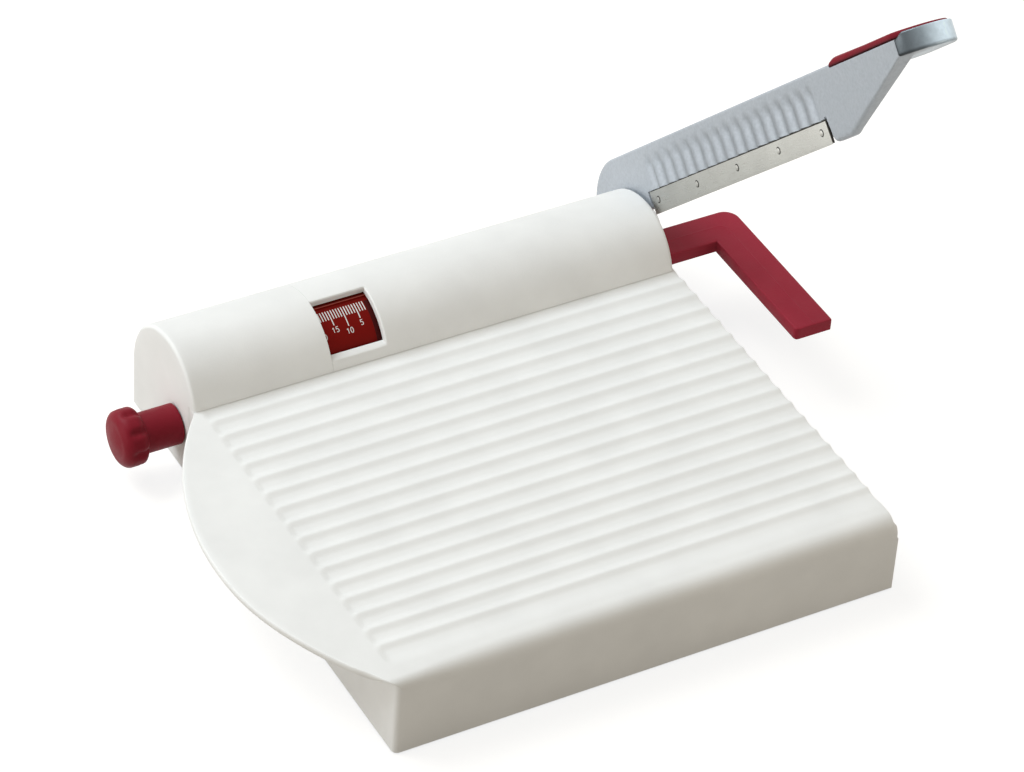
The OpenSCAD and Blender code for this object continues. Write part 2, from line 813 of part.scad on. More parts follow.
// Cast lever arm with its hub, blade pocket, ribs and handle
module lever_arm() {
    color("lightslategray") place() raised() difference() {
        union() {
            across(arm_x, arm_x + arm_t) arm_outline();
            rod_x(arm_x, arm_x + hub_t, pivot_boss_r);
            arm_ribs();
            difference() {
                upward(handle_low, arm_top + lip_rise) handle_plan(0, 0);
                across(arm_x - past, arm_x + handle_w + past) over_lip();
            }
        }
        across(arm_x - past, arm_x + blade_t) translate([blade_rear - slit_w, under_v - past])
            square([blade_end - blade_rear + 1.5 * slit_w, blade_cover + past]);
        upward(pad_seat, arm_top + lip_rise + past) pad_plan(0, past);
        rod_x(arm_x - past, arm_x + hub_t + past, bush_r + fix_fit);
        at_rivets() rod_x(arm_x, arm_x + arm_t + past, rivet_d / 2 + fix_fit);
        at_pad_pegs() translate([0, 0, pad_seat - pad_peg_l])
            cylinder(h = pad_peg_l + past, r = pad_peg_d / 2 + fix_fit);
    }
}

// Steel blade with a bevel ground on its outer face
module blade() {
    color("lightgray") place() raised() difference() {
        across(arm_x, arm_x + blade_t) polygon([
            [blade_rear, edge_v],
            [blade_end, edge_v],
            [blade_end, blade_top - 0.2],
            [blade_rear, blade_top - 0.2]
        ]);
        translate([0, -blade_rear + past, edge_v]) rotate([90, 0, 0])
            linear_extrude(blade_end - blade_rear + 2 * past)
                polygon([
                    [arm_x + blade_t / 6, -past / 4],
                    [arm_x + blade_t + past, -past / 4],
                    [arm_x + blade_t + past, bevel_h],
                    [arm_x + blade_t, bevel_h],
                    [arm_x + blade_t / 6, 0]
                ]);
        at_rivets() rod_x(arm_x - past, arm_x + blade_t + past, rivet_d / 2 + fix_fit);
    }
}

// Domed rivets through the blade and the arm
module blade_rivets() {
    color("gray") place() raised() at_rivets() turned(arm_x) {
        square([rivet_d / 2, arm_t]);
        cap(arm_t, rivet_head_d / 2, rivet_head_h);
        mirror([0, 1]) cap(0, rivet_head_d / 2, rivet_head_h);
    }
}

// Soft pad let into the handle, with two pegs
module grip_pad() {
    color("firebrick") place() raised() {
        upward(pad_seat, pad_seat + pad_t) pad_plan(pad_gap, 0);
        at_pad_pegs() translate([0, 0, pad_seat - pad_peg_l + pad_gap])
            cylinder(h = pad_peg_l + join, r = pad_peg_d / 2);
    }
}

module pivot_bush() {
    color("peru") place() raised() difference() {
        rod_x(arm_x, arm_x + hub_t, bush_r);
        rod_x(arm_x - past, arm_x + hub_t + past, pivot_d / 2 + run_fit);
    }
}

// Half of the bevelled slab of the stop: an outline with its upper and lower edges drawn in
module bevelled(x, y, w, d, r) {
    leaf = 0.02;
    top = stop_t - leaf;
    hull() for (layer = [[0, stop_bevel], [stop_bevel, 0], [top - stop_bevel, 0], [top, stop_bevel]])
        translate([0, 0, stop_z + layer.x]) linear_extrude(leaf) polygon(rounded([
            [x + layer.y, y + layer.y, 0],
            [x + w - layer.y, y + layer.y, r / 4],
            [x + w - layer.y, y + d - layer.y, r],
            [x + layer.y, y + d - layer.y, 0]
        ]));
}

module at_stop_screws() {
    for (x = [shelf_x + 6, shelf_end - 6]) translate([x, stop_y + stop_w / 2, 0]) children();
}

// L-shaped stop: a bar out of the housing and a leg along the blade
module thickness_stop() {
    color("firebrick") place() difference() {
        union() {
            bevelled(shelf_x + 1, stop_y, stop_out - shelf_x - 1, stop_w, stop_corner_r);
            bevelled(stop_x, leg_y, stop_w, leg_l, stop_corner_r);
        }
        at_stop_screws() translate([0, 0, stop_z - past])
            cylinder(h = stop_t + 2 * past, r = pilot_r + run_fit);
    }
}

// Slide with the curved scale, the nut block, the guide and the shelf for the stop
module scale_slide() {
    block_w = 2 * (drive_nut_r + bush_wall);
    bore_from = block_x - past;
    bore_to = block_x + block_l + past;
    color("firebrick") place() difference() {
        union() {
            along_x(scale_x, scale_end) {
                scale_ring(scale_r, scale_r - scale_t, scale_low, scale_high);
                scale_ring(scale_r + scale_rib, scale_r - scale_t / 2,
                    window_high - scale_rib_drop - scale_rib_arc, window_high - scale_rib_drop);
            }
            along_x(block_x, block_x + block_l) intersection() {
                translate([arch_y, front_cz]) circle(scale_r - scale_t / 2);
                translate([knob_y - 3, knob_z]) square([10, housing_h]);
            }
            translate([block_x, knob_y - block_w / 2, knob_z - drive_nut_r - bush_wall])
                cube([block_l, block_w, stop_z - knob_z + drive_nut_r + bush_wall]);
            translate([block_x, knob_y, knob_z - rod_d / 2 - bush_wall])
                cube([block_l, rod_y - knob_y, rod_d + 2 * bush_wall]);
            translate([0, rod_y, knob_z]) rod_x(block_x, block_x + block_l, rod_d / 2 + bush_wall);
            translate([block_x, stop_y, knob_z + spindle_d / 2 + 0.6])
                cube([shelf_end - block_x, stop_w, stop_z - knob_z - spindle_d / 2 - 0.6]);
        }
        translate([0, knob_y, knob_z]) rod_x(bore_from, bore_to, drive_nut_r + fix_fit);
        translate([0, rod_y, knob_z]) rod_x(bore_from, bore_to, rod_d / 2 + run_fit);
        at_stop_screws() translate([0, 0, knob_z]) cylinder(h = stop_z, r = pilot_r + fix_fit);
    }
}

module stop_screws() {
    color("silver") place() at_stop_screws() {
        translate([0, 0, stop_z + stop_t]) cylinder(h = head_h, r = screw_head_d / 2);
        translate([0, 0, knob_z + spindle_d / 2 + 1])
            cylinder(h = stop_z + stop_t - knob_z - spindle_d / 2 - 1 + join, r = pilot_r);
    }
}

// Flanged nut on the spindle's thread
module drive_nut() {
    color("goldenrod") place() translate([0, knob_y, knob_z]) difference() {
        union() {
            rod_x(block_x, block_x + block_l, drive_nut_r);
            rod_x(block_x - nut_flange_t, block_x, drive_nut_r + bush_wall);
        }
        rod_x(block_x - nut_flange_t - past, block_x + block_l + past, spindle_d / 2 + run_fit);
    }
}

// Knob with a crowned face, a hollowed rim and a neck up to the end cover
module knob() {
    head_x = -neck_gap - neck_l;
    head_r = knob_d / 2;
    hollow_r = (pow(hollow_w / 2, 2) + pow(hollow_depth, 2)) / (2 * hollow_depth);
    face_r = (pow(head_r, 2) + pow(knob_crown, 2)) / (2 * knob_crown);
    round_r = 2.2;
    color("firebrick") place() translate([0, knob_y, knob_z]) difference() {
        union() {
            rod_x(head_x - past, -neck_gap, neck_d / 2);
            translate([head_x - knob_l, 0, 0]) rotate([0, 90, 0]) rotate_extrude() intersection() {
                union() {
                    square([head_r - round_r, knob_l]);
                    translate([0, round_r]) square([head_r, knob_l - 2 * round_r]);
                    for (y = [round_r, knob_l - round_r])
                        translate([head_r - round_r, y]) circle(round_r);
                }
                translate([0, face_r]) circle(face_r, $fn = 128);
                square([head_r, knob_l]);
            }
        }
        for (i = [0:hollow_n - 1]) rotate([i * 360 / hollow_n, 0, 0])
            translate([0, 0, head_r + hollow_r - hollow_depth])
                rod_x(head_x - knob_l - past, head_x + past, hollow_r);
        rod_x(head_x - knob_l / 2, past, spindle_d / 2 + fix_fit);
    }
}

// Spindle from the knob to the bracket, with a collar behind the bush
module spindle() {
    color("lightsteelblue") place() translate([0, knob_y, knob_z]) {
        rod_x(-neck_gap - neck_l - knob_l / 2, bracket_x - collar_gap, spindle_d / 2);
        rod_x(collar_x, collar_x + collar_t, spindle_d / 2 + bush_wall);
        rod_x(bracket_x - past, spindle_end, tail_d / 2);
    }
}

// Clip that keeps the spindle's tail in the bracket
module spindle_clip() {
    color("gray") place() translate([0, knob_y, knob_z]) difference() {
        rod_x(clip_x, clip_x + clip_t, tail_d / 2 + bush_wall);
        rod_x(clip_x - past, clip_x + clip_t + past, tail_d / 2 + fix_fit);
    }
}

board();
base_plate();
rubber_feet();
base_screws();
housing();
end_cover();
guide_rod();
bearing_bracket();
spindle_bush();
pivot_bolt();
pivot_nut();
friction_washer();
spring_washer();
lever_arm();
blade();
blade_rivets();
grip_pad();
pivot_bush();
thickness_stop();
scale_slide();
stop_screws();
drive_nut();
knob();
spindle();
spindle_clip();
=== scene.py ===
"""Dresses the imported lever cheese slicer: white board and housing, red stop, knob and pad, cast lever.

Shapes are worked out in millimetres in the slicer's own frame, whose origin is the board's front left
corner on the table, and are put into the row frame by to_row.
"""
import json
import math
from types import SimpleNamespace

import bmesh
import bpy
import numpy as np
from bpy.props import FloatProperty, FloatVectorProperty, IntProperty, PointerProperty
from mathutils import Matrix, Vector


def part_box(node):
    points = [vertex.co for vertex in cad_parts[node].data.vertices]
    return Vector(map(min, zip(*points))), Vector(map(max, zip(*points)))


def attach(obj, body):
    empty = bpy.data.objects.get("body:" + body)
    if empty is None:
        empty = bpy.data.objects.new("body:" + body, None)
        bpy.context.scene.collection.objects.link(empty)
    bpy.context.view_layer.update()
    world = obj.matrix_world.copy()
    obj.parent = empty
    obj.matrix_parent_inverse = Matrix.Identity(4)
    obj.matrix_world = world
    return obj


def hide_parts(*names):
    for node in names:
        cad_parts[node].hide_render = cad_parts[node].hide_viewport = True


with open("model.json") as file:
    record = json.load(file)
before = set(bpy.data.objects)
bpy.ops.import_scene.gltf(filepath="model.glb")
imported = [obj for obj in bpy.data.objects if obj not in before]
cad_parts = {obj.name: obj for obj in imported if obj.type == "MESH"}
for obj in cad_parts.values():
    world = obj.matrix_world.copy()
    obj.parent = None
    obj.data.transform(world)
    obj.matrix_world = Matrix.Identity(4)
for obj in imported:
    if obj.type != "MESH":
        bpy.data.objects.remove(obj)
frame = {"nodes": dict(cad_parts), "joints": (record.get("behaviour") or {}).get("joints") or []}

bl_info = {
    "name": "Lever cheese slicer",
    "version": (1, 0, 0),
    "blender": (4, 5, 0),
    "location": "3D View > Sidebar > Slicer",
    "description": "Builds the visible pieces and finishes of a lever cheese slicer",
    "category": "Object",
}

MM = 0.001
QUARTER, TURN = math.pi / 2, 2 * math.pi
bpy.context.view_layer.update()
ORIGIN = Vector((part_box("end_cover")[0].x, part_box("board")[0].y, 0.0))


def slicer_box(node):
    """Lowest and highest corner of a CAD node in the slicer's frame, in millimetres."""
    low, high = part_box(node)
    return Vector((low - ORIGIN) / MM), Vector((high - ORIGIN) / MM)


BOARD_LOW, BOARD_HIGH = slicer_box("board")
HOUSING_LOW, HOUSING_HIGH = slicer_box("housing")
STOP_LOW, STOP_HIGH = slicer_box("thickness_stop")
KNOB_LOW, KNOB_HIGH = slicer_box("knob")
KNOB_AXIS = (KNOB_LOW.y + KNOB_HIGH.y) / 2, (KNOB_LOW.z + KNOB_HIGH.z) / 2
COVER_X = slicer_box("end_cover")[0].x
ARM_X = slicer_box("blade")[0].x
SWING = next(joint for joint in frame["joints"] if joint["name"] == "lever_swing")
PIVOT = (Vector(SWING["pos_m"]) - ORIGIN) / MM
LEVER_ANGLE = math.radians(-SWING["range_deg"][0])


def length(description, millimetres):
    """A size in the sidebar, given in millimetres and kept in metres."""
    return FloatProperty(description=description, default=millimetres * MM, min=0.0, precision=5, unit="LENGTH")


def angle(description, degrees):
    """An angle in the sidebar, given in degrees."""
    return FloatProperty(description=description, default=math.radians(degrees), unit="ROTATION")


def share_of(description, value):
    """A share in the sidebar."""
    return FloatProperty(description=description, default=value, min=0.0)


def count(description, number):
    """A whole number in the sidebar."""
    return IntProperty(description=description, default=number, min=1)


def colour(description, red, green, blue):
    """A colour in the sidebar, given in linear values."""
    return FloatVectorProperty(description=description, default=(red, green, blue), min=0.0, max=1.0,
                               subtype="COLOR")


class BoardSizes(bpy.types.PropertyGroup):
    """Sizes of the board."""

    front_round: length("Radius of the front top edge", 5.5)
    front_round_left: length("Radius of the front top edge at its left end", 3.0)
    corner_round: length("Radius of the front left corner", 2.0)
    flange_thickness: length("Thickness of the round flange", 2.6)
    flange_front: length("Thickness of the flange at the front", 0.3)
    flange_nose: length("Reach of the flange's half-round edge", 0.6)
    flange_fillet: length("Radius of the fillet under the flange", 1.0)
    flange_flat: length("Draw-in of the flange near the front", 1.2)
    rim_inset: length("Set-back of the flange's circle from the solid's", 0.06)
    rim_out: length("Stand-out of the flange's rim from its circle", 0.05)
    skirt_inset: length("Set-back of the left wall under the flange", 1.1)
    wall: length("Thickness of the walls", 2.6)
    edge_round: length("Radius of the right top edge", 0.35)
    bow: length("Bulge of the right top edge at its front end", 0.3)
    shoulder: length("Bulge of the right side at its front end", 1.3)
    shoulder_drop: length("Drop of the shoulder below the top", 2.4)
    shoulder_slope: length("Height of the shoulder's slope", 1.4)
    ledge_width: length("Width of the ledge on the right side", 2.2)
    ledge_drop: length("Drop of the ledge below the top", 8.6)
    ledge_round: length("Radius of the ledge's edge", 0.3)
    pocket_height: length("Height of the pocket for the base plate", 4.1)
    rest_strip: length("Width of the strip that carries the housing", 3.2)
    rest_drop: length("Drop of the strip that carries the housing", 0.1)
    wave_count: count("Number of waves", 16)
    wave_first: length("Distance of the first wave from the front", 16.8)
    wave_pitch: length("Spacing of the waves", 8.1)
    wave_rise: length("Run of a wave's rising side in front of its line", 2.9)
    wave_crest: length("Distance of a wave's crest behind its line", 1.5)
    wave_height: length("Height of the waves", 0.85)
    wave_sink: length("Depth of the troughs below the top", 0.55)
    wave_start: length("Distance of the waves' tips from the left side", 1.8)
    wave_end: length("Distance of the waves' full height from the left side", 5.0)


class HousingSizes(bpy.types.PropertyGroup):
    """Sizes of the housing and of its end cover."""

    front_arch: length("Radius of the front quarter", 21.2)
    rear_arch: length("Radius of the rear quarter", 28.0)
    wall: length("Thickness of the walls", 2.5)
    foot_wall: share_of("Share of the wall's thickness behind the board", 0.3)
    foot_gap: length("Gap between the housing and the board's back", 0.2)
    rim_round: length("Radius of the rims of the end faces", 1.3)
    seam_round: length("Radius of the edges at the seam", 0.1)
    seam_gap: length("Half the width of the seam", 0.02)
    window_width: length("Width of the scale window", 20.8)
    window_low: angle("Angle of the window's lower edge on the arch", 25.0)
    window_high: angle("Angle of the window's upper edge on the arch", 86.0)
    window_slant: angle("Turn of the window's upper edge towards the inside", 1.5)
    window_chamfer: length("Chamfer of the window's edges", 0.4)
    slot_gap: length("Gap round the stop's bar in its slot", 0.35)
    bush_bore: length("Radius of the bore for the spindle's bush", 6.07)


class StopSizes(bpy.types.PropertyGroup):
    """Sizes of the thickness stop."""

    width: length("Width of the bar and of the leg", 14.5)
    corner: length("Radius of the outer corner", 5.5)
    edge: length("Radius of the upper edges, twice that of the lower ones", 0.4)
    toe: length("Radius of the leg's inner front corner", 1.6)
    crown: length("Rise of the crease along the top", 0.14)
    line: length("Height of the parting line along the top", 0.06)
    line_width: length("Half the width of the parting line", 0.16)


class KnobSizes(bpy.types.PropertyGroup):
    """Sizes of the knob."""

    neck_radius: length("Radius of the neck", 7.2)
    neck_edge: length("Chamfer at the neck's end", 0.3)
    head_length: length("Length of the head", 10.0)
    face_round: length("Radius of the edge of the face", 4.0)
    back_round: length("Radius of the edge at the neck", 3.0)
    crown: length("Crown of the face", 0.8)
    hollows: count("Number of hollows round the head", 8)
    hollow_depth: length("Depth of a hollow", 1.1)
    hollow_power: share_of("Power that narrows a hollow", 3.2)


class ScaleSizes(bpy.types.PropertyGroup):
    """Sizes of the marks on the scale."""

    reading: length("Reading at the window's left edge", 20.6)
    radius: length("Radius of the scale's surface", 17.8)
    tick_width: length("Width of a tick", 0.36)
    tick_top: angle("Angle of the upper ends of the ticks", 77.4)
    tick_short: length("Length of a tick", 3.6)
    tick_medium: length("Length of every fifth tick", 5.9)
    tick_long: length("Length of every tenth tick", 7.5)
    first_tick: count("Smallest value with a tick", 2)
    last_tick: count("Largest value with a tick", 22)
    digit_height: length("Height of the numerals", 2.05)
    digit_gap: length("Gap between a tick and its numeral", 0.6)
    digit_pitch: share_of("Spacing of the digits as a share of their height", 0.7)
    digit_inset: share_of("Place of a digit in its spacing, as a share of its height", 0.05)
    digit_stroke: share_of("Width of a digit's stroke as a share of its height", 0.12)
    rib_angle: angle("Angle of the rib on the scale", 84.0)
    rib_height: length("Height of the rib on the scale", 0.4)
    # The worn crest is a painted highlight: a lighter red strip laid along the rib.
    rib_width: length("Width of the rib's worn crest", 0.45)
    rib_before: length("Reach of the worn crest to the left of the window", 4.0)
    rib_after: length("Reach of the worn crest to the right of the window's left edge", 24.0)
    # The dark band at the scale's end is painted shadow, laid as a dark strip on the scale.
    band_width: length("Width of the dark band at the scale's end", 3.4)
    band_place: length("Distance of the dark band from the reading 0", 0.35)
    band_low: angle("Angle of the dark band's lower end", math.degrees(0.5))
    band_ink: length("Thickness of the dark band", 0.03)
    ink: length("Thickness of the marks", 0.05)


class LeverSizes(bpy.types.PropertyGroup):
    """Sizes of the lever, along it and up from the pivot, and across it from its left face."""

    top: length("Height of the top", 25.8)
    heel: length("Reach of the root below the pivot", 3.0)
    boss: length("Radius of the boss at the pivot", 6.8)
    hub: length("Thickness of the hub at the pivot", 6.5)
    beam_low: length("Height of the lower edge", 3.8)
    web: length("Thickness of the arm", 4.0)
    web_flare: length("Growth of the arm's thickness towards the handle", 2.2)
    flare_low: length("Height at which the arm's thickness starts to grow", 3.0)
    edge: length("Radius of the edges", 0.8)
    foot_edge: length("Growth of the edge's radius at the foot", 0.6)
    slope_edge: length("Loss of the edge's radius along the slope", 0.35)
    seat_edge: length("Radius of the edge under the pad", 0.25)
    pocket_top: length("Height of the top of the blade pocket", 10.0)
    pocket_depth: length("Depth of the blade pocket", 1.0)
    pocket_rear: length("Rear end of the blade pocket", 21.8)
    slit: length("Slit in front of the blade", 1.2)
    foot_low: length("Height of the foot and of the cutting edge", 1.45)
    foot_end: length("Front end of the foot", 177.8)
    foot_round: length("Radius of the foot's front corner", 6.0)
    toe_round: length("Radius of the foot's rear corner", 1.6)
    rib_count: count("Number of ribs", 16)
    rib_first: length("Place of the first rib", 32.7)
    rib_pitch: length("Spacing of the ribs", 8.13)
    rib_height: length("Height of the ribs", 1.4)
    rib_stand: length("Height of the ribs above the arm's face", 0.3)
    # The ribs' wear is painted light and shade: bright lines from rib_bright, of strength rib_shade, darker below
    # rib_dark.
    rib_bright: length("Place of the first bright line of the ribs", 34.9)
    rib_shade: share_of("Share of the ribs' wear", 0.23)
    rib_dark: share_of("Level below which the ribs' wear darkens them", 0.85)
    handle_width: length("Width of the handle", 23.6)
    handle_end: length("Tip of the handle", 229.3)
    handle_low: length("Height of the handle's underside", 19.1)
    handle_round: length("Radius of the handle's lower edge", 0.9)
    handle_brow: length("Radius of the handle's upper edge", 0.6)
    handle_rear: length("Reach of the handle behind the pad", 3.0)
    face_gap: length("Set-back of the handle's left side from the arm's face", 0.12)
    tip_radius: length("Radius of the tip", 12.6)
    lip_rise: length("Rise of the lip above the arm", 0.6)
    lip_width: length("Width of the lip", 2.0)
    lip_start: length("Distance along the tip over which the lip rises", 3.4)
    pad_rear: length("Rear end of the pad", 175.8)
    pad_seat: length("Height of the pad's seat", 24.7)
    pad_thickness: length("Thickness of the pad", 2.4)
    pad_gap: length("Gap round the pad", 0.15)
    pad_crown: length("Crown of the pad", 0.35)
    pad_edge: length("Radius of the pad's upper edge", 0.8)
    pad_nose: length("Length of the pad's bullet-shaped rear end", 6.0)
    pad_groove: length("Depth of the shadow groove at the pad's foot", 0.7)
    blade_rear: length("Rear end of the blade", 23.0)
    blade_end: length("Front end of the blade", 163.6)
    blade_back: length("Height of the blade's back", 9.8)
    blade_thickness: length("Thickness of the blade", 1.0)
    blade_lean: length("Lean of the blade's front end at the cutting edge", 0.7)
    blade_slant: length("Slant of the blade's front end across its thickness", 0.35)
    bevel: length("Height of the blade's bevel", 2.0)
    rivet_inset: length("Distance of the rivets from the blade's ends", 5.0)
    rivet_height: length("Height of the rivets' axes", 6.15)
    rivet_radius: length("Radius of a rivet's head", 0.95)
    rivet_dome: length("Height of a rivet's dome", 0.16)
    rivet_stand: length("Height of a rivet's rim above the face", 0.04)
    # The dark gap round a rivet is painted shadow: a dark ring laid on the blade, shifted to the front.
    rivet_shadow: length("Reach of the dark gap round a rivet", 0.38)
    rivet_shift: length("Shift of the dark gap to the front", 0.28)
    rivet_count: count("Number of rivets", 5)


class FinishColours(bpy.types.PropertyGroup):
    """Colours of the finishes."""

    white: colour("White plastic", 0.84, 0.84, 0.82)
    knob: colour("Red plastic of the knob", 0.198, 0.006, 0.016)
    # The stop's red is lighter and pinker than the knob's; the lighter part is painted light that makes up for the
    # housing's shade on the bar.
    stop: colour("Red plastic of the stop", 0.32, 0.020, 0.040)
    scale: colour("Red scale", 0.185, 0.006, 0.004)
    # Painted shadow at the scale's right end.
    scale_end: colour("Dark end of the scale", 0.055, 0.003, 0.003)
    # Painted highlight along the scale's rib.
    ridge: colour("Worn rib of the scale", 0.44, 0.085, 0.06)
    pad: colour("Red pad", 0.20, 0.009, 0.020)
    cast: colour("Lacquered cast metal", 0.41, 0.445, 0.485)
    # Metal of the handle; its light and dark across the tip are painted reflection.
    polished: colour("Polished cast metal", 0.77, 0.91, 1.0)
    steel: colour("Blade steel", 0.60, 0.595, 0.56)
    bright: colour("Plated steel", 0.60, 0.60, 0.59)
    # Painted shadow: the dark sheets round the rivets and along the blade's back and front end.
    grime: colour("Dark gaps of the blade and rivets", 0.045, 0.042, 0.036)
    brass: colour("Brass", 0.62, 0.42, 0.16)
    bronze: colour("Sintered bronze", 0.42, 0.24, 0.11)
    grey: colour("Grey plastic", 0.48, 0.48, 0.47)
    rubber: colour("Rubber", 0.030, 0.030, 0.032)
    ink: colour("Printed marks", 0.78, 0.78, 0.76)
    floor: colour("Floor", 0.38, 0.345, 0.30)


class StageValues(bpy.types.PropertyGroup):
    """Camera and surroundings of the stage."""

    azimuth: angle("Camera's angle round the part", -31.36)
    elevation: angle("Camera's angle above the table", 40.33)
    roll: angle("Camera's roll", 4.28)
    lens: FloatProperty(description="Focal length in millimetres", default=164.25, unit="CAMERA")
    shift: FloatVectorProperty(description="Camera's shift", size=2, default=(-16.2 / 1024, 65.0 / 1024))
    eye: FloatVectorProperty(description="Camera's place", default=(-0.62451, -1.03529, 1.04126), subtype="XYZ")
    ambient: colour("Colour of the world's light", 0.435, 0.41, 0.365)
    floor_size: length("Half the side of the floor", 8000.0)
    floor_glow: share_of("Strength of the floor's glow", 0.79)
    floor_tint: colour("Colour of the floor's glow", 0.95, 0.975, 1.0)


def in_mm(group):
    """The values of a size group, with its lengths in millimetres and its angles in radians."""
    values = {}
    for key, prop in group.bl_rna.properties.items():
        if key not in ("rna_type", "name"):
            value = getattr(group, key)
            values[key] = value / MM if getattr(prop, "unit", "NONE") == "LENGTH" else value
    return SimpleNamespace(**values)


def to_row(places):
    """Slicer millimetres to row metres."""
    return np.asarray(places, float).reshape(-1, 3) * MM + np.array(ORIGIN)


def points(*coordinates):
    """Coordinates, each an array or a number, as one array of points."""
    return np.stack(np.broadcast_arrays(*coordinates), -1)


def smoothstep(low, high, value):
    """0 below low, 1 above high, and the cubic 3t^2 - 2t^3 between."""
    t = np.clip((value - low) / (high - low), 0.0, 1.0)
    return t * t * (3.0 - 2.0 * t)


def fade(low, high, value):
    """1 below low, 0 above high, and the same cubic between."""
    return 1.0 - smoothstep(low, high, value)


def quarter(steps):
    """Run 1 - cos and rise 1 - sin of a quarter turn in even steps."""
    t = np.linspace(0.0, QUARTER, steps)
    return 1.0 - points(np.cos(t), np.sin(t))


def round_drop(radius, distance):
    """Drop of a quarter round at a distance from its edge: r - sqrt(r^2 - (r - d)^2), and 0 past r."""
    d = np.clip(distance, 0.0, radius)
    return radius - np.sqrt(np.maximum(radius * radius - (radius - d) ** 2, 0.0))


def eased(low, high, steps):
    """Values from low to high that crowd towards low, spaced as 1 - cos."""
    return low + (high - low) * quarter(steps)[:, 0]


def ring_angles(steps):
    """Angles of a full turn in even steps."""
    return np.linspace(0.0, TURN, steps, endpoint=False)


def grid_quads(rows, columns):
    """Corner numbers of the quads of a grid of points, rows first, closed along its columns."""
    r, c = np.meshgrid(np.arange(rows - 1), np.arange(columns), indexing="ij")
    right = (c + 1) % columns
    here, below = r * columns, (r + 1) * columns
    return points(here + c, here + right, below + right, below + c).reshape(-1, 4)


def loft(sections, capped=True):
    """Points and faces of closed sections, an array of sections by points, joined along their order."""
    rows, around = sections.shape[:2]
    faces = grid_quads(rows, around).tolist()
    if capped:
        faces += [list(range(around))[::-1], list(range((rows - 1) * around, rows * around))]
    return sections.reshape(-1, 3), faces


def thick_sheet(outer, inner, present):
    """A sheet with two sides, closed along its columns: quads of the outer and inner grids where present is
    true, and a wall along each edge that belongs to one present quad only."""
    total = outer.shape[0] * outer.shape[1]
    kept = grid_quads(*outer.shape[:2])[present.reshape(-1)]
    edges = np.concatenate([kept[:, [k, (k + 1) % 4]] for k in range(4)])
    keys = np.sort(edges, 1) @ np.array([total, 1])
    _, first, uses = np.unique(keys, return_index=True, return_counts=True)
    start, end = edges[first[uses == 1]].T
    walls = points(end, start, start + total, end + total)
    faces = np.concatenate([kept, kept[:, ::-1] + total, walls])
    return np.concatenate([outer.reshape(-1, 3), inner.reshape(-1, 3)]), faces.tolist()


WELD, SLIVER = 2e-6, 1e-6
SHARP_ANGLE = math.radians(32.0)


def mesh_piece(name, body, parts, finish):
    """One piece from parts, each a pair of points and faces: closed, facing outwards, smooth up to an angle."""
    places, faces, base = [], [], 0
    for part_points, part_faces in parts:
        places.append(to_row(part_points))
        faces.extend([[index + base for index in face] for face in part_faces])
        base += len(part_points)
    mesh = bpy.data.meshes.new(name)
    mesh.from_pydata(np.concatenate(places).tolist(), [], faces)
    work = bmesh.new()
    work.from_mesh(mesh)
    bmesh.ops.remove_doubles(work, verts=work.verts, dist=WELD)
    bmesh.ops.dissolve_degenerate(work, edges=work.edges, dist=SLIVER)
    bmesh.ops.recalc_face_normals(work, faces=work.faces)
    for edge in work.edges:
        flat_side = any(len(face.verts) > 4 for face in edge.link_faces)
        edge.smooth = not (flat_side or edge.calc_face_angle(0.0) > SHARP_ANGLE)
    for face in work.faces:
        face.smooth = True
    work.to_mesh(mesh)
    work.free()
    mesh.materials.append(finish_of(finish))
    piece = bpy.data.objects.new(name, mesh)
    bpy.context.scene.collection.objects.link(piece)
    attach(piece, body)
    return piece


def add_node(tree, kind, inputs=(), **settings):
    """A shader node with its settings, and its inputs by name or place, each a value or an output to link."""
    node = tree.nodes.new("ShaderNode" + kind)
    for key, value in settings.items():
        setattr(node, key, value)
    for key, value in dict(inputs).items():
        if isinstance(value, bpy.types.NodeSocket):
            tree.links.new(value, node.inputs[key])
        else:
            node.inputs[key].default_value = value
    return node


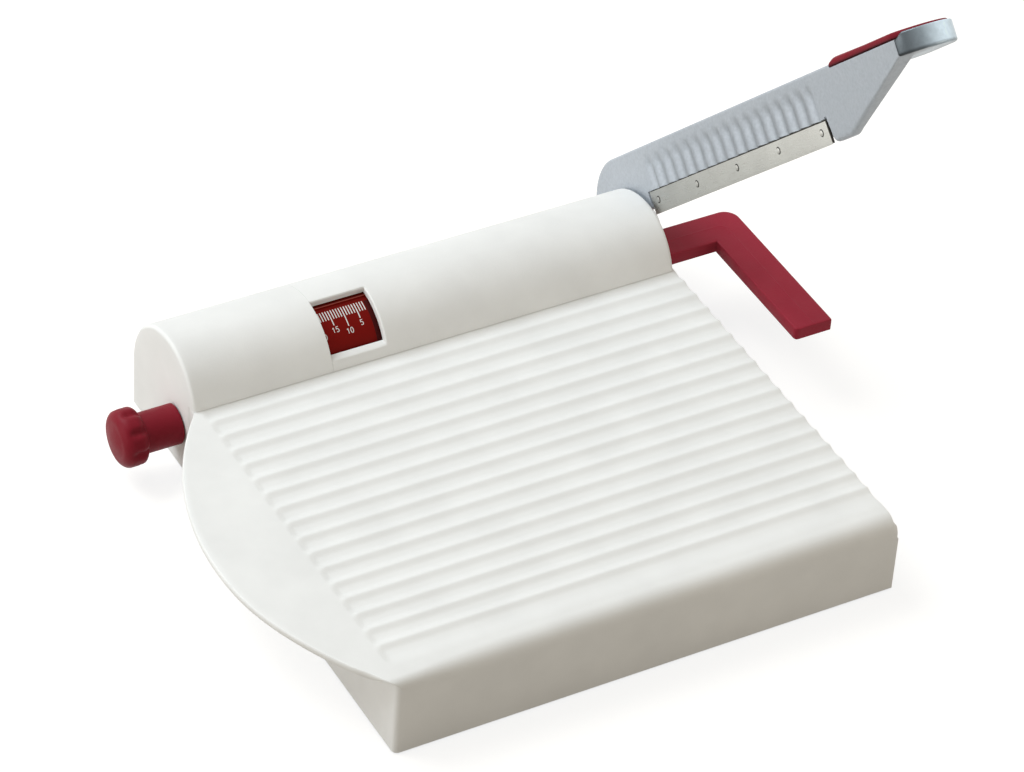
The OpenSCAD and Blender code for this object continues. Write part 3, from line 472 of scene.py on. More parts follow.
class Finish:
    """A node material round one Principled shader, read in Object coordinates."""

    def __init__(self, name, shade, roughness, inputs=()):
        self.material = bpy.data.materials.new(name)
        self.material.use_nodes = True
        self.material.diffuse_color = (*shade, 1.0)
        self.tree = self.material.node_tree
        self.shader = self.tree.nodes["Principled BSDF"]
        self.shade, self.roughness = shade, roughness
        self.place = self.add("TexCoord").outputs["Object"]
        for key, value in {"Base Color": (*shade, 1.0), "Roughness": roughness, **dict(inputs)}.items():
            self.shader.inputs[key].default_value = value

    def add(self, kind, inputs=(), **settings):
        """A node in this material."""
        return add_node(self.tree, kind, inputs, **settings)

    def feed(self, output, entry):
        """Links an output to the shader."""
        self.tree.links.new(output, self.shader.inputs[entry])

    def noise(self, scale, detail=3.0, stretch=(1.0, 1.0, 1.0), source=None):
        """Noise of so many features to the metre, stretched along the axes of its source."""
        mapped = self.add("Mapping", {"Vector": source or self.place, "Scale": stretch}).outputs["Vector"]
        return self.add("TexNoise", {"Vector": mapped, "Scale": scale, "Detail": detail}).outputs["Fac"]

    def on_lever(self):
        """Object coordinates from the pivot, turned so that Y runs back along the lever and Z up across it."""
        pivot = to_row((ARM_X, PIVOT.y, PIVOT.z))[0]
        offset = self.add("VectorMath", {0: self.place, 1: pivot}, operation="SUBTRACT").outputs["Vector"]
        turned = self.add("VectorRotate", {"Vector": offset, "Angle": LEVER_ANGLE}, rotation_type="X_AXIS")
        return turned.outputs["Vector"]

    def parts(self, vector):
        """The three outputs of a vector."""
        return self.add("SeparateXYZ", {"Vector": vector}).outputs

    def sum_up(self, operation, first, *others):
        """Values joined by a maths operation, each a number or an output."""
        for other in others or (0.0,):
            first = self.add("Math", {0: first, 1: other}, operation=operation).outputs[0]
        return first

    def ranged(self, factor, low, high, start=0.3, end=0.7):
        """The factor carried from start..end to low..high."""
        return self.add("MapRange", {"Value": factor, "From Min": start, "From Max": end, "To Min": low,
                                     "To Max": high}).outputs["Result"]

    def paint(self, *shares):
        """Base colour times the shares."""
        share = self.sum_up("MULTIPLY", *shares, 1.0)
        self.feed(self.add("VectorMath", {0: self.shade, "Scale": share}, operation="SCALE").outputs["Vector"],
                  "Base Color")

    def uneven(self, factor, less, more):
        """Roughness that falls by less and rises by more."""
        self.feed(self.ranged(factor, self.roughness - less, self.roughness + more), "Roughness")

    def relief(self, factor, depth):
        """Bump of a depth in millimetres."""
        bump = self.add("Bump", {"Height": factor, "Distance": depth * MM, "Strength": 1.0})
        self.feed(bump.outputs["Normal"], "Normal")


def moulded(name, shade, roughness, grain, depth, blotch, gloss, painted_foot_shade=False):
    """Moulded plastic: fine eroded grain, faint blotches and an uneven sheen. The pad, which is let in, gets
    painted shade towards its foot."""
    finish = Finish(name, shade, roughness, {"Specular IOR Level": gloss})
    shares = [finish.ranged(finish.noise(55.0, 4.0), 1.0 - blotch, 1.0 + blotch)]
    if painted_foot_shade:
        seat = bpy.context.scene.slicer_lever.pad_seat
        up = finish.parts(finish.on_lever())[2]
        # painted shade: darker towards the pad's foot
        shares.append(finish.ranged(up, 0.25, 1.0, seat + 0.3 * MM, seat + 1.3 * MM))
    finish.paint(*shares)
    finish.uneven(finish.noise(140.0), 0.06, 0.06)
    finish.relief(finish.noise(grain, 2.0), depth)
    return finish.material


def cast_metal(name, shade, roughness):
    """Lacquered casting: a sandy skin, soft cloudy sheen, a thin clear coat, a paler root, and painted light
    and shade on the ribs, bright on their front sides, as a cosine along the lever that fades out round them."""
    s = bpy.context.scene.slicer_lever
    finish = Finish(name, shade, roughness, {"Metallic": 0.3, "Coat Weight": 0.1, "Coat Roughness": 0.35})
    across, back, up = finish.parts(finish.on_lever())
    turns = finish.sum_up("MULTIPLY", back, -TURN / s.rib_pitch)
    wave = finish.sum_up("COSINE", finish.sum_up("SUBTRACT", turns, TURN * s.rib_bright / s.rib_pitch))
    last = s.rib_first + s.rib_pitch * (s.rib_count - 1)
    run_out = 4.0 * MM
    # painted light and shade on the ribs
    painted_rib_light = finish.sum_up(
        "MULTIPLY", finish.sum_up("SUBTRACT", wave, s.rib_dark), s.rib_shade,
        finish.ranged(up, 1.0, 0.0, s.top - 9.0 * MM, s.top - 3.5 * MM),
        finish.ranged(across, 1.0, 0.0, 1.6 * MM, 2.0 * MM),
        finish.ranged(back, 0.0, 1.0, run_out - s.rib_first, -s.rib_first),
        finish.ranged(back, 1.0, 0.0, -last, -last - run_out))
    skin = finish.ranged(finish.noise(900.0), 0.93, 1.06)
    root = finish.ranged(back, 1.0, 1.13, -60.0 * MM, 0.0)
    finish.paint(skin, root, finish.sum_up("ADD", painted_rib_light, 1.0))
    finish.uneven(finish.noise(320.0), 0.08, 0.08)
    finish.relief(finish.noise(1500.0), 0.04)
    return finish.material


# Painted reflection across the handle's tip: share of the base colour at each place across it.
TIP_PAINTED_REFLECTION = ((0.0, 0.08), (0.14, 0.15), (0.28, 0.31), (0.42, 0.63), (0.56, 0.92), (0.68, 1.08), (0.84, 0.78),
              (1.0, 0.68))


def polished_metal(name, shade, roughness):
    """Casting of the handle with a painted reflection across the tip, dark towards the arm with a painted
    highlight past the middle, painted shade along its lower edge, and a cloudy sheen."""
    s = bpy.context.scene.slicer_lever
    finish = Finish(name, shade, roughness, {"Metallic": 0.65})
    across, _, up = finish.parts(finish.on_lever())
    ramp = finish.add("ValToRGB", {"Fac": finish.ranged(across, 0.0, 1.0, 0.0, s.handle_width)})
    stops = ramp.color_ramp.elements
    for stop, (_, level) in ((stops[0], TIP_PAINTED_REFLECTION[0]), (stops[1], TIP_PAINTED_REFLECTION[-1])):
        stop.color = (level, level, level, 1.0)
    for position, level in TIP_PAINTED_REFLECTION[1:-1]:
        stops.new(position).color = (level, level, level, 1.0)
    # painted shade along the handle's lower edge
    low_edge = finish.ranged(up, 0.4, 1.0, s.handle_low + 0.5 * MM, s.handle_low + 1.3 * MM)
    cloud = finish.ranged(finish.noise(420.0), 0.88, 1.08)
    finish.paint(ramp.outputs["Color"], low_edge, cloud)
    finish.uneven(finish.noise(320.0), 0.06, 0.06)
    finish.relief(finish.noise(1500.0), 0.02)
    return finish.material


def ground_metal(name, shade, roughness, stretch):
    """Ground metal: long fine scratches along X and cloudy polish."""
    finish = Finish(name, shade, roughness, {"Metallic": 1.0})
    finish.paint(finish.ranged(finish.noise(45.0), 0.90, 1.06))
    scratches = finish.noise(2600.0, 2.0, (stretch, 1.0, 1.0))
    finish.uneven(scratches, 0.06, 0.08)
    finish.relief(scratches, 0.003)
    return finish.material


def blade_steel(name, shade, roughness):
    """Blade steel: scratches along the blade, cloudy polish, and a painted sheen, brighter towards the front end.
    """
    s = bpy.context.scene.slicer_lever
    finish = Finish(name, shade, roughness, {"Metallic": 1.0})
    lever = finish.on_lever()
    scratches = finish.noise(5200.0, 2.0, (1.0, 0.02, 1.0), lever)
    # painted sheen: the blade is painted lighter towards its front end
    sheen = finish.ranged(finish.parts(lever)[1], 1.10, 0.70, -s.blade_end, -s.blade_rear)
    cloud = finish.ranged(finish.noise(70.0), 0.95, 1.04)
    finish.paint(sheen, cloud, finish.ranged(scratches, 0.97, 1.03))
    finish.uneven(scratches, 0.05, 0.05)
    return finish.material


# Maker and roughness of each finish. Plastics: grains to the metre, their depth in millimetres, blotches, gloss
# and, for the pad, painted shade at its foot. Ground metals: stretch of the scratches.
FINISHES = {
    "white": (moulded, 0.5, 2200.0, 0.04, 0.03, 0.35),
    "knob": (moulded, 0.5, 1900.0, 0.05, 0.06, 0.16),
    "stop": (moulded, 0.5, 1900.0, 0.05, 0.06, 0.16),
    "scale": (moulded, 0.4, 1600.0, 0.02, 0.05, 0.05),
    "scale_end": (moulded, 0.5, 1600.0, 0.02, 0.05, 0.1),
    "ridge": (moulded, 0.4, 1600.0, 0.02, 0.05, 0.3),
    "pad": (moulded, 0.55, 1700.0, 0.08, 0.07, 0.12, True),
    # painted shadow round the rivets and along the blade
    "grime": (moulded, 0.7, 1800.0, 0.04, 0.2, 0.2),
    "grey": (moulded, 0.5, 1800.0, 0.06, 0.05, 0.5),
    "rubber": (moulded, 0.75, 1400.0, 0.1, 0.1, 0.5),
    "ink": (moulded, 0.6, 1500.0, 0.01, 0.03, 0.2),
    "cast": (cast_metal, 0.5),
    "polished": (polished_metal, 0.34),
    "steel": (blade_steel, 0.3),
    "bright": (ground_metal, 0.30, 0.08),
    "brass": (ground_metal, 0.32, 0.1),
    "bronze": (ground_metal, 0.45, 0.3),
}


def finish_of(key):
    """The finish of that name, made when it is first asked for."""
    name = "finish_" + key
    maker, *values = FINISHES[key]
    shade = getattr(bpy.context.scene.slicer_finishes, key)
    return bpy.data.materials.get(name) or maker(name, shade, *values)


def board_waves(s, y):
    """Heights of the waves along the board's depth, from their crests down to a shallow trough. Each rises
    slowly to the back, as (1 - cos(pi t^1.7)) / 2, and falls as (1 + cos(pi t^0.75)) / 2."""
    run = y - s.wave_first + s.wave_rise
    crest = s.wave_rise + s.wave_crest
    last = s.wave_count * s.wave_pitch
    step = np.mod(run, s.wave_pitch)
    rising = 0.5 - 0.5 * np.cos(math.pi * np.clip(step / crest, 0.0, 1.0) ** 1.7)
    fall = np.clip((step - crest) / (s.wave_pitch - crest), 0.0, 1.0)
    falling = 0.5 + 0.5 * np.cos(math.pi * fall ** 0.75)
    wave = s.wave_height * np.where(step < crest, rising, falling) * ((run > 0.0) & (run < last))
    return wave - s.wave_sink * smoothstep(-6.0, 0.0, run) * fade(last, last + 4.0, run)


def board_sections(s):
    """Sections of the board across X and Z, carried from the front to the back.

    Left wall, flange with a half-round edge that follows a circle in plan, top with its waves, right edge,
    ledge, and the pocket for the base plate. The front is drawn in by a quarter round whose radius grows
    from the left end. The waves run out to the left."""
    depth, height, low = BOARD_HIGH.y, BOARD_HIGH.z, BOARD_LOW.z
    flange_out = -BOARD_LOW.x - s.rim_inset
    arc_depth = depth - s.rest_strip
    arc_r = ((arc_depth / 2) ** 2 + flange_out ** 2) / (2 * flange_out)
    right = BOARD_HIGH.x - s.ledge_width
    y = np.unique(np.concatenate([
        eased(0.0, s.front_round, 16), [s.wall, s.wall + 0.01],
        np.linspace(s.front_round, arc_depth, 470), [arc_depth + 0.4, depth],
    ]))
    # stretches of the depth over which forms come or go
    skirt_joins, corner_fades, flange_grows = (arc_depth - 25.0, arc_depth - 5.0), (0.0, 14.0), (0.0, 9.0)
    flat_comes, flat_goes = (1.0, 10.0), (20.0, 60.0)
    bow_fades, shoulder_fades = (30.0, 70.0), (9.0, 24.0)
    # stretch of the width over which the front round grows, and end of the dense columns
    round_from, round_to, dense_end = -4.0, 40.0, 12.0
    waves = board_waves(s, y)

    def top_at(x):
        radius = s.front_round_left + (s.front_round - s.front_round_left) * smoothstep(round_from, round_to, x)
        return height - round_drop(radius, y) - s.rest_drop * (y > arc_depth)

    def waved(x):
        return top_at(x) + waves * smoothstep(s.wave_start, s.wave_end, x)

    corner = round_drop(s.corner_round, y)
    wall_x = s.skirt_inset * fade(*skirt_joins, y) + corner
    circle = arc_r - flange_out - np.sqrt(np.maximum(arc_r ** 2 - (y - arc_depth / 2) ** 2, 0.0))
    rim_x = np.where(y < arc_depth, circle, 0.0) + corner + s.skirt_inset * fade(*corner_fades, y) - s.rim_out
    rim_x = rim_x + s.flange_flat * smoothstep(*flat_comes, y) * fade(*flat_goes, y)
    thick = s.flange_front + (s.flange_thickness - s.flange_front) * smoothstep(*flange_grows, y)
    under = top_at(round_from) - thick
    over = wall_x - rim_x
    nose = np.minimum(s.flange_nose, over / 2)
    fillet = np.minimum(s.flange_fillet, over / 3)
    columns = []

    def put(x, z):
        columns.append(points(x, y, z))

    put(wall_x, low)
    put(wall_x, 8.0)
    for run, rise in quarter(5):
        put(wall_x - fillet * run, under - fillet * rise)
    for t in np.linspace(-QUARTER, QUARTER, 11):
        put(rim_x + nose * (1 - math.cos(t)), under + thick / 2 + thick / 2 * math.sin(t))
    start = rim_x + nose
    first = np.maximum(start, 0.0)
    right_x = right + s.bow * fade(*bow_fades, y)
    for begin, end, steps in ((start, first, 14), (first, dense_end, 28), (dense_end, right_x - s.edge_round, 26)):
        for t in np.linspace(0.0, 1.0, steps)[1:]:
            x = begin + (end - begin) * t
            put(x, waved(x))
    edge_top = waved(right_x)
    for run, rise in quarter(6)[1:]:
        put(right_x - s.edge_round * rise, edge_top - s.edge_round * run)
    ledge = height - s.ledge_drop
    shoulder_x = right_x + s.shoulder * fade(*shoulder_fades, y)
    shoulder_z = np.minimum(edge_top - s.edge_round, height - s.shoulder_drop)
    put(right_x, shoulder_z)
    put(shoulder_x, shoulder_z - s.shoulder_slope)
    put(shoulder_x, ledge + s.ledge_round)
    put(shoulder_x + 0.25, ledge)
    for run, rise in quarter(4):
        put(right + s.ledge_width - s.ledge_round * rise, ledge - s.ledge_round * run)
    put(right + s.ledge_width, low)
    pocket = np.where(y > s.wall, s.pocket_height, low)
    pocket_left, pocket_right = s.skirt_inset + s.wall, right - s.wall
    for x, z in ((pocket_right, low), (pocket_right, pocket), (pocket_left, pocket), (pocket_left, low)):
        put(x, z)
    return np.stack(columns, 1)


HOLE_ROWS, RIM_ROWS = 7, 6
FOOT_POINTS, BOTTOM_POINTS = 5, 9


def housing_loop(s, inset, foot):
    """Closed outline of the housing across Y and Z, inset by a wall, and the arch angle of each point.

    Front wall behind the board, foot on the board, front and rear quarters of a circle, rear wall, bottom."""
    back, crest, low = HOUSING_HIGH.y, HOUSING_HIGH.z, HOUSING_LOW.z
    middle = back - s.rear_arch
    front_z, rear_z = crest - s.front_arch, crest - s.rear_arch
    deck = BOARD_HIGH.z
    foot_angle = math.asin((deck - front_z) / s.front_arch)
    front = BOARD_HIGH.y + s.foot_gap + inset * foot
    bevel = s.window_chamfer / s.front_arch
    angles = np.concatenate([
        np.linspace(foot_angle, s.window_low - 2 * bevel, 6), [s.window_low - bevel],
        np.linspace(s.window_low, s.window_high, 30),
        [s.window_high + bevel], np.linspace(s.window_high + 2 * bevel, QUARTER, 3)[:2], [QUARTER],
    ])
    front_r, rear_r = s.front_arch - inset, s.rear_arch - inset
    rear = np.linspace(QUARTER, 0.0, 26)[1:]
    outline = np.concatenate([
        points(front, np.linspace(low, deck - 0.05, FOOT_POINTS)),
        points(middle - np.cos(angles) * front_r, np.maximum(np.sin(angles) * front_r + front_z, deck)),
        points(middle + np.cos(rear) * rear_r, rear_z + np.sin(rear) * rear_r),
        points(back - inset, np.linspace(rear_z, low, 6)[1:]),
        points(np.linspace(back - inset, front, BOTTOM_POINTS + 2)[1:-1], low),
    ])
    arch = np.full(len(outline), -1.0)
    arch[FOOT_POINTS:FOOT_POINTS + len(angles)] = angles
    return outline, arch


def on_plane(x, outline):
    """An outline across Y and Z stood at x."""
    return points(x, outline[:, 0], outline[:, 1])


def hole_loop(outline, centre, half_y, half_z, square):
    """Outline of a hole with a point in the direction of each outline point: a circle, or a rectangle."""
    way = outline - np.array(centre)
    if square:
        reach = 1.0 / np.maximum(np.abs(way[:, 0]) / half_y, np.abs(way[:, 1]) / half_z)
    else:
        reach = half_y / np.hypot(way[:, 0], way[:, 1])
    return np.array(centre) + way * reach[:, None]


def shell(s, face, sign, hole_shape, stations):
    """Outer and inner rows of one half of the housing along X, the quads that are kept, and the arch angles.

    The closed end at face runs from its hole out to the rim, turns over a quarter round, and goes on along X
    to the seam, where the outer edge is rounded. The bottom is open."""
    outer, arch = housing_loop(s, 0.0, 1.0)
    inner, _ = housing_loop(s, s.wall, s.foot_wall)
    drawn_in, _ = housing_loop(s, s.rim_round, 1.0)
    back_face = face + sign * s.wall

    def behind_foot(loop):
        return points(np.maximum(loop[:, 0], loop[0, 0]), loop[:, 1])

    outside, inside = behind_foot(drawn_in), behind_foot(inner)
    hole = hole_loop(outside, *hole_shape)
    rows = []
    for t in np.linspace(0.0, 1.0, HOLE_ROWS):
        rows.append((on_plane(face, hole + (outside - hole) * t), on_plane(back_face, hole + (inside - hole) * t)))
    for t in np.linspace(0.0, QUARTER, RIM_ROWS):
        ring = drawn_in + (outer - drawn_in) * math.sin(t)
        rows.append((on_plane(face + sign * s.rim_round * (1 - math.cos(t)), ring),
                     on_plane(back_face + sign * 0.01 * t, inner)))
    seam = HOUSING_LOW.x
    before_seam = np.array([0.5, s.seam_round + 0.12, s.seam_round])
    for x in (*stations, *(seam - sign * before_seam)):
        rows.append((on_plane(x, outer), on_plane(x, inner)))
    edge_x = seam - sign * s.seam_gap
    for run, rise in quarter(4)[1:]:
        rounded = outer + (inner - outer) * s.seam_round * run / s.wall
        rows.append((on_plane(edge_x - sign * s.seam_round * rise, rounded), on_plane(edge_x, inner)))
    present = np.ones((len(rows) - 1, len(arch)), bool)
    present[HOLE_ROWS + RIM_ROWS - 1:, -BOTTOM_POINTS - 1:] = False
    outer_rows, inner_rows = np.moveaxis(np.array(rows), 1, 0)
    return outer_rows, inner_rows, present, arch


def housing_parts(s):
    """Sheets of the end cover and of the main housing, with the window cut out of the main housing.

    The window's sill is level."""
    left, seam, right = COVER_X, HOUSING_LOW.x, HOUSING_HIGH.x
    clear_rim, clear_seam = s.rim_round + 1.0, 1.2
    bore = (KNOB_AXIS, s.bush_bore, s.bush_bore, False)
    outer, inner, present, _ = shell(s, left, 1.0, bore, np.linspace(left + clear_rim, seam - clear_seam, 13))
    cover = thick_sheet(outer, inner, present)

    bar_half = bpy.context.scene.slicer_stop.width / MM / 2
    slot = ((STOP_HIGH.y - bar_half, (STOP_LOW.z + STOP_HIGH.z) / 2), bar_half + s.slot_gap,
            (STOP_HIGH.z - STOP_LOW.z) / 2 + s.slot_gap, True)
    window_end = seam + s.window_width
    bevel_end = window_end + s.window_chamfer
    plain = np.linspace(right - clear_rim, bevel_end + clear_seam, 24)
    beside = np.linspace(window_end, seam + clear_seam, 8)
    stations = np.concatenate([plain, [bevel_end + 0.15, bevel_end], beside])
    outer, inner, present, arch = shell(s, right, -1.0, slot, stations)
    first = HOLE_ROWS + RIM_ROWS + len(plain) + 2
    next_arch = np.roll(arch, -1)
    above_sill = arch >= s.window_low - 1e-6
    present[first:, above_sill & (next_arch <= s.window_high + 1e-6) & (next_arch > 0)] = False
    edge = above_sill & (arch <= s.window_high + 1e-6)
    chamfer = s.window_chamfer / s.wall
    inside_r = s.front_arch - s.wall
    sill = math.asin(s.front_arch * math.sin(s.window_low) / inside_r)
    way = np.linspace(sill, s.window_high + s.window_slant, int(edge.sum()))
    inner[first:, edge, 1] = HOUSING_HIGH.y - s.rear_arch - inside_r * np.cos(way)
    inner[first:, edge, 2] = HOUSING_HIGH.z - s.front_arch + inside_r * np.sin(way)
    outer[first, edge] += (inner[first, edge] - outer[first, edge]) * chamfer
    for value in (s.window_low, s.window_high):
        k = int(np.argmin(np.abs(arch - value)))
        outer[first + 1:, k] += (inner[first + 1:, k] - outer[first + 1:, k]) * chamfer
    return cover, thick_sheet(outer, inner, present)


def stop_sections(s):
    """Sections of the stop: a rounded rectangle with a slight ridge and a parting line, carried along the
    bar, round the corner and down the leg. Each section spans from the inner to the outer line of the L."""
    start, outer_x = STOP_LOW.x, STOP_HIGH.x
    front, back = STOP_LOW.y, STOP_HIGH.y
    low, high = STOP_LOW.z, STOP_HIGH.z
    width, r, e = s.width, s.corner, s.edge
    inner_x, inner_y = outer_x - width, back - width
    along = np.linspace(0.0, 1.0, 16)[:-1]
    turn = np.linspace(0.0, QUARTER, 13)
    down = np.concatenate([np.linspace(0.0, 0.96, 16)[1:], 1.0 - eased(0.0, 0.04, 6)[::-1][1:]])
    leg_out_y, leg_in_y = back - r + (front - back + r) * down, inner_y + (front - inner_y) * down
    outer = np.concatenate([
        points(start + (outer_x - r - start) * along, back),
        points(outer_x - r + r * np.sin(turn), back - r + r * np.cos(turn)),
        points(outer_x, leg_out_y),
    ])
    inner = np.concatenate([
        points(start + (inner_x - start) * along, inner_y),
        points(np.full(len(turn), inner_x), inner_y),
        points(inner_x + round_drop(s.toe, leg_in_y - front), leg_in_y),
    ])
    run, rise = quarter(5).T
    centre = width / 2
    across = np.sort(np.concatenate([np.linspace(e, width - e, 12)[1:-1], centre + np.linspace(-0.3, 0.3, 7)]))
    from_centre = np.abs(across - centre)
    ridge = s.crown * (1.0 - from_centre / centre) + s.line * np.exp(-(from_centre / s.line_width) ** 2)
    edge_z = high - s.crown - s.line
    profile = np.concatenate([
        points(e * run, edge_z - e * rise),
        points(across, edge_z + ridge),
        points(width - e * run[::-1], edge_z - e * rise[::-1]),
        points(width - e / 2 * run, low + e / 2 * rise),
        points(e / 2 * run[::-1], low + e / 2 * rise[::-1]),
    ])
    tail = np.zeros((len(inner), 1))
    tail[-len(down):, 0] = round_drop(e, leg_out_y - front)
    middle, half = (low + high) / 2, (high - low) / 2
    z = middle + (profile[:, 1] - middle) * (1.0 - tail / half)
    t = 0.5 + (profile[:, 0] / width - 0.5) * (1.0 - 2 * tail / width)
    flat = inner[:, None, :] * (1 - t[..., None]) + outer[:, None, :] * t[..., None]
    return points(flat[..., 0], flat[..., 1], z)


def knob_sections(s):
    """Rings of the knob along X: neck, head with rounded edges and hollows, crowned face.

    The radius of a ring is cut by hollows, a power of a raised cosine of the angle, that fade towards
    the face."""
    end, face = KNOB_HIGH.x, KNOB_LOW.x
    head_r, neck = (KNOB_HIGH.z - KNOB_LOW.z) / 2, s.neck_radius
    shoulder = face + s.head_length
    run, rise = quarter(11).T
    back_x, back_r = shoulder - s.back_round * run, head_r - s.back_round * rise
    front_x = face + s.crown + s.face_round * run[::-1]
    front_r = head_r - s.face_round * rise[::-1]
    dome = np.linspace(1.0, 0.0, 10)[1:]
    x, r = np.concatenate([
        [(end, neck - s.neck_edge), (end - s.neck_edge, neck)],
        points(np.linspace(end - 2 * s.neck_edge, shoulder + 1.0, 8), neck),
        [(shoulder + 0.4, neck + 0.1), (shoulder + 0.1, neck + 0.3)],
        points(back_x, np.maximum(back_r, neck + 0.4)),
        points(np.linspace(back_x[-1], front_x[0], 8)[1:-1], head_r),
        points(front_x, front_r),
        points(face + s.crown * dome ** 2, (head_r - s.face_round) * dome),
    ]).T
    phi = ring_angles(224)
    wave = np.clip(0.5 + 0.5 * np.cos(phi * s.hollows), 0.0, 1.0) ** s.hollow_power
    share = (shoulder - x) / (shoulder - face)
    reach = smoothstep(-0.02, 0.12, share) * fade(0.42, 0.78, share) * smoothstep(neck, head_r - 1.2, r)
    radius = r[:, None] - s.hollow_depth * reach[:, None] * wave
    return points(x[:, None], KNOB_AXIS[0] + radius * np.sin(phi), KNOB_AXIS[1] + radius * np.cos(phi))


def on_lever(u, v, w):
    """Lever coordinates, along it, up from the pivot when it is level, and across from its left face,
    turned up to the raised lever: y = py - u cos a + v sin a, z = pz + u sin a + v cos a."""
    c, n = math.cos(LEVER_ANGLE), math.sin(LEVER_ANGLE)
    return points(ARM_X + w, PIVOT.y - u * c + v * n, PIVOT.z + u * n + v * c)


def tip_corner(s):
    """Place along the lever where the round tip meets the left side."""
    centre = s.handle_width - s.tip_radius
    return s.handle_end - s.tip_radius + math.sqrt(s.tip_radius ** 2 - centre ** 2)


def arm_outline(s, end):
    """Places along the arm with the heights of its lower and upper edges and the depth of the blade pocket:
    round root, boss, beam, slit, foot and slope up to the handle."""
    slope = (s.handle_low - s.foot_low) / (end - s.foot_end)
    lean = math.atan(slope)
    tangent = s.foot_round * math.tan(lean / 2)
    root = math.sqrt(s.top ** 2 - s.heel ** 2)
    foot = s.blade_end + s.slit
    toe = foot + s.slit
    stretches = []

    def stretch(u, low, high=s.top, pocket=0.0):
        stretches.append(points(u, low, high, pocket))

    u = -root + eased(0.0, root - s.boss, 16)
    stretch(u, -s.heel, np.sqrt(s.top ** 2 - u ** 2))
    u = np.linspace(-s.boss, s.boss, 25)
    boss_low = -np.sqrt(np.maximum(s.boss ** 2 - u ** 2, 0.0))
    stretch(u, np.where(u < 0, np.minimum(boss_low, -s.heel), boss_low),
            np.where(u < 0, np.sqrt(np.maximum(s.top ** 2 - np.minimum(u, 0) ** 2, 0.0)), s.top))
    stretch(np.linspace(s.boss, s.pocket_rear, 8), s.beam_low)
    stretch(np.linspace(s.pocket_rear, s.blade_end, 300), s.beam_low, pocket=s.pocket_depth)
    stretch(np.linspace(s.blade_end, s.blade_end + s.slit / 2, 3), s.pocket_top, pocket=s.pocket_depth)
    stretch(np.linspace(s.blade_end + s.slit / 2, foot, 3), s.pocket_top)
    u = np.linspace(foot, toe, 6)
    stretch(u, s.pocket_top + (s.foot_low + s.toe_round - s.pocket_top) * (u - foot) / s.slit)
    u = toe + eased(0.0, s.toe_round, 8)[1:]
    stretch(u, s.foot_low + round_drop(s.toe_round, u - toe))
    stretch(np.linspace(toe + s.toe_round, s.foot_end - tangent, 8)[1:], s.foot_low)
    bend = np.linspace(0.0, lean, 8)[1:]
    u = s.foot_end - tangent + s.foot_round * np.sin(bend)
    stretch(u, s.foot_low + s.foot_round * (1 - np.cos(bend)))
    u = np.linspace(u[-1], end, 60)[1:]
    stretch(u, s.foot_low + slope * (u - s.foot_end))
    return np.concatenate(stretches).T


def arm_sections(s):
    """Sections of the arm across v and w, carried along u between its lower and upper edges.

    The edges are rounded. The left face has the blade pocket, and ribs in a cosine of u that fade to the
    top. The right face flares towards the handle."""
    end = tip_corner(s) - s.face_gap
    u, low, high, pocket = (row[:, None] for row in arm_outline(s, end))
    foot = s.blade_end + s.slit
    toe = foot + s.slit
    under_pad = smoothstep(s.pad_rear - 0.2, s.pad_rear + 0.9, u)
    high = high - (s.top - s.pad_seat) * under_pad
    climb = smoothstep(s.foot_end, end, u)
    low_edge = s.edge + s.foot_edge * smoothstep(foot, toe + 2.0, u) * (1.0 - climb) - s.slope_edge * climb
    high_edge = s.edge - (s.edge - s.seat_edge) * under_pad

    near = quarter(6)[:, 0]
    split = np.where(u > toe, np.maximum(s.pocket_top, low + 0.35 * (high - low)), np.minimum(s.pocket_top, high))
    below, above = split - low, high - split
    lower = np.concatenate([np.minimum(low_edge * near, below), below * np.linspace(0.0, 1.0, 8)[2:]], 1)
    upper = np.concatenate([above * np.linspace(0.0, 1.0, 26)[:-1], above - high_edge * near[::-1]], 1)
    v = np.concatenate([np.maximum.accumulate(lower, 1) + low, np.maximum.accumulate(upper, 1) + split], 1)
    is_lower = np.arange(v.shape[1]) < lower.shape[1]
    drop = round_drop(low_edge, v - low) + round_drop(high_edge, high - v)
    last = s.rib_first + s.rib_pitch * (s.rib_count - 1)
    ribbed = smoothstep(s.rib_first - 8.0, s.rib_first - 3.0, u) * fade(last + 3.0, last + 8.0, u)
    valley = s.rib_height * (0.5 - 0.5 * np.cos(TURN * (u - s.rib_first) / s.rib_pitch)) - s.rib_stand
    left = drop + np.where(is_lower, pocket, ribbed * valley * fade(s.top - 8.0, s.top - 2.6, v))
    flare = s.web_flare * np.clip((v - s.flare_low) / (s.handle_low - s.flare_low), 0.0, 1.0)
    right = s.web - drop + flare * smoothstep(foot, s.foot_end, u)
    return on_lever(u, np.concatenate([v, v[:, ::-1]], 1), np.concatenate([left, right[:, ::-1]], 1))


def hub_sections(s):
    """Rings of the hub at the pivot, a disc with a rounded outer edge."""
    phi = ring_angles(64)
    w = np.array([[1.0], [s.hub - 0.6], [s.hub - 0.3], [s.hub - 0.1], [s.hub]])
    r = s.boss - np.array([[0.05], [0.05], [0.1], [0.3], [0.6]])
    return on_lever(r * np.cos(phi), r * np.sin(phi), w)


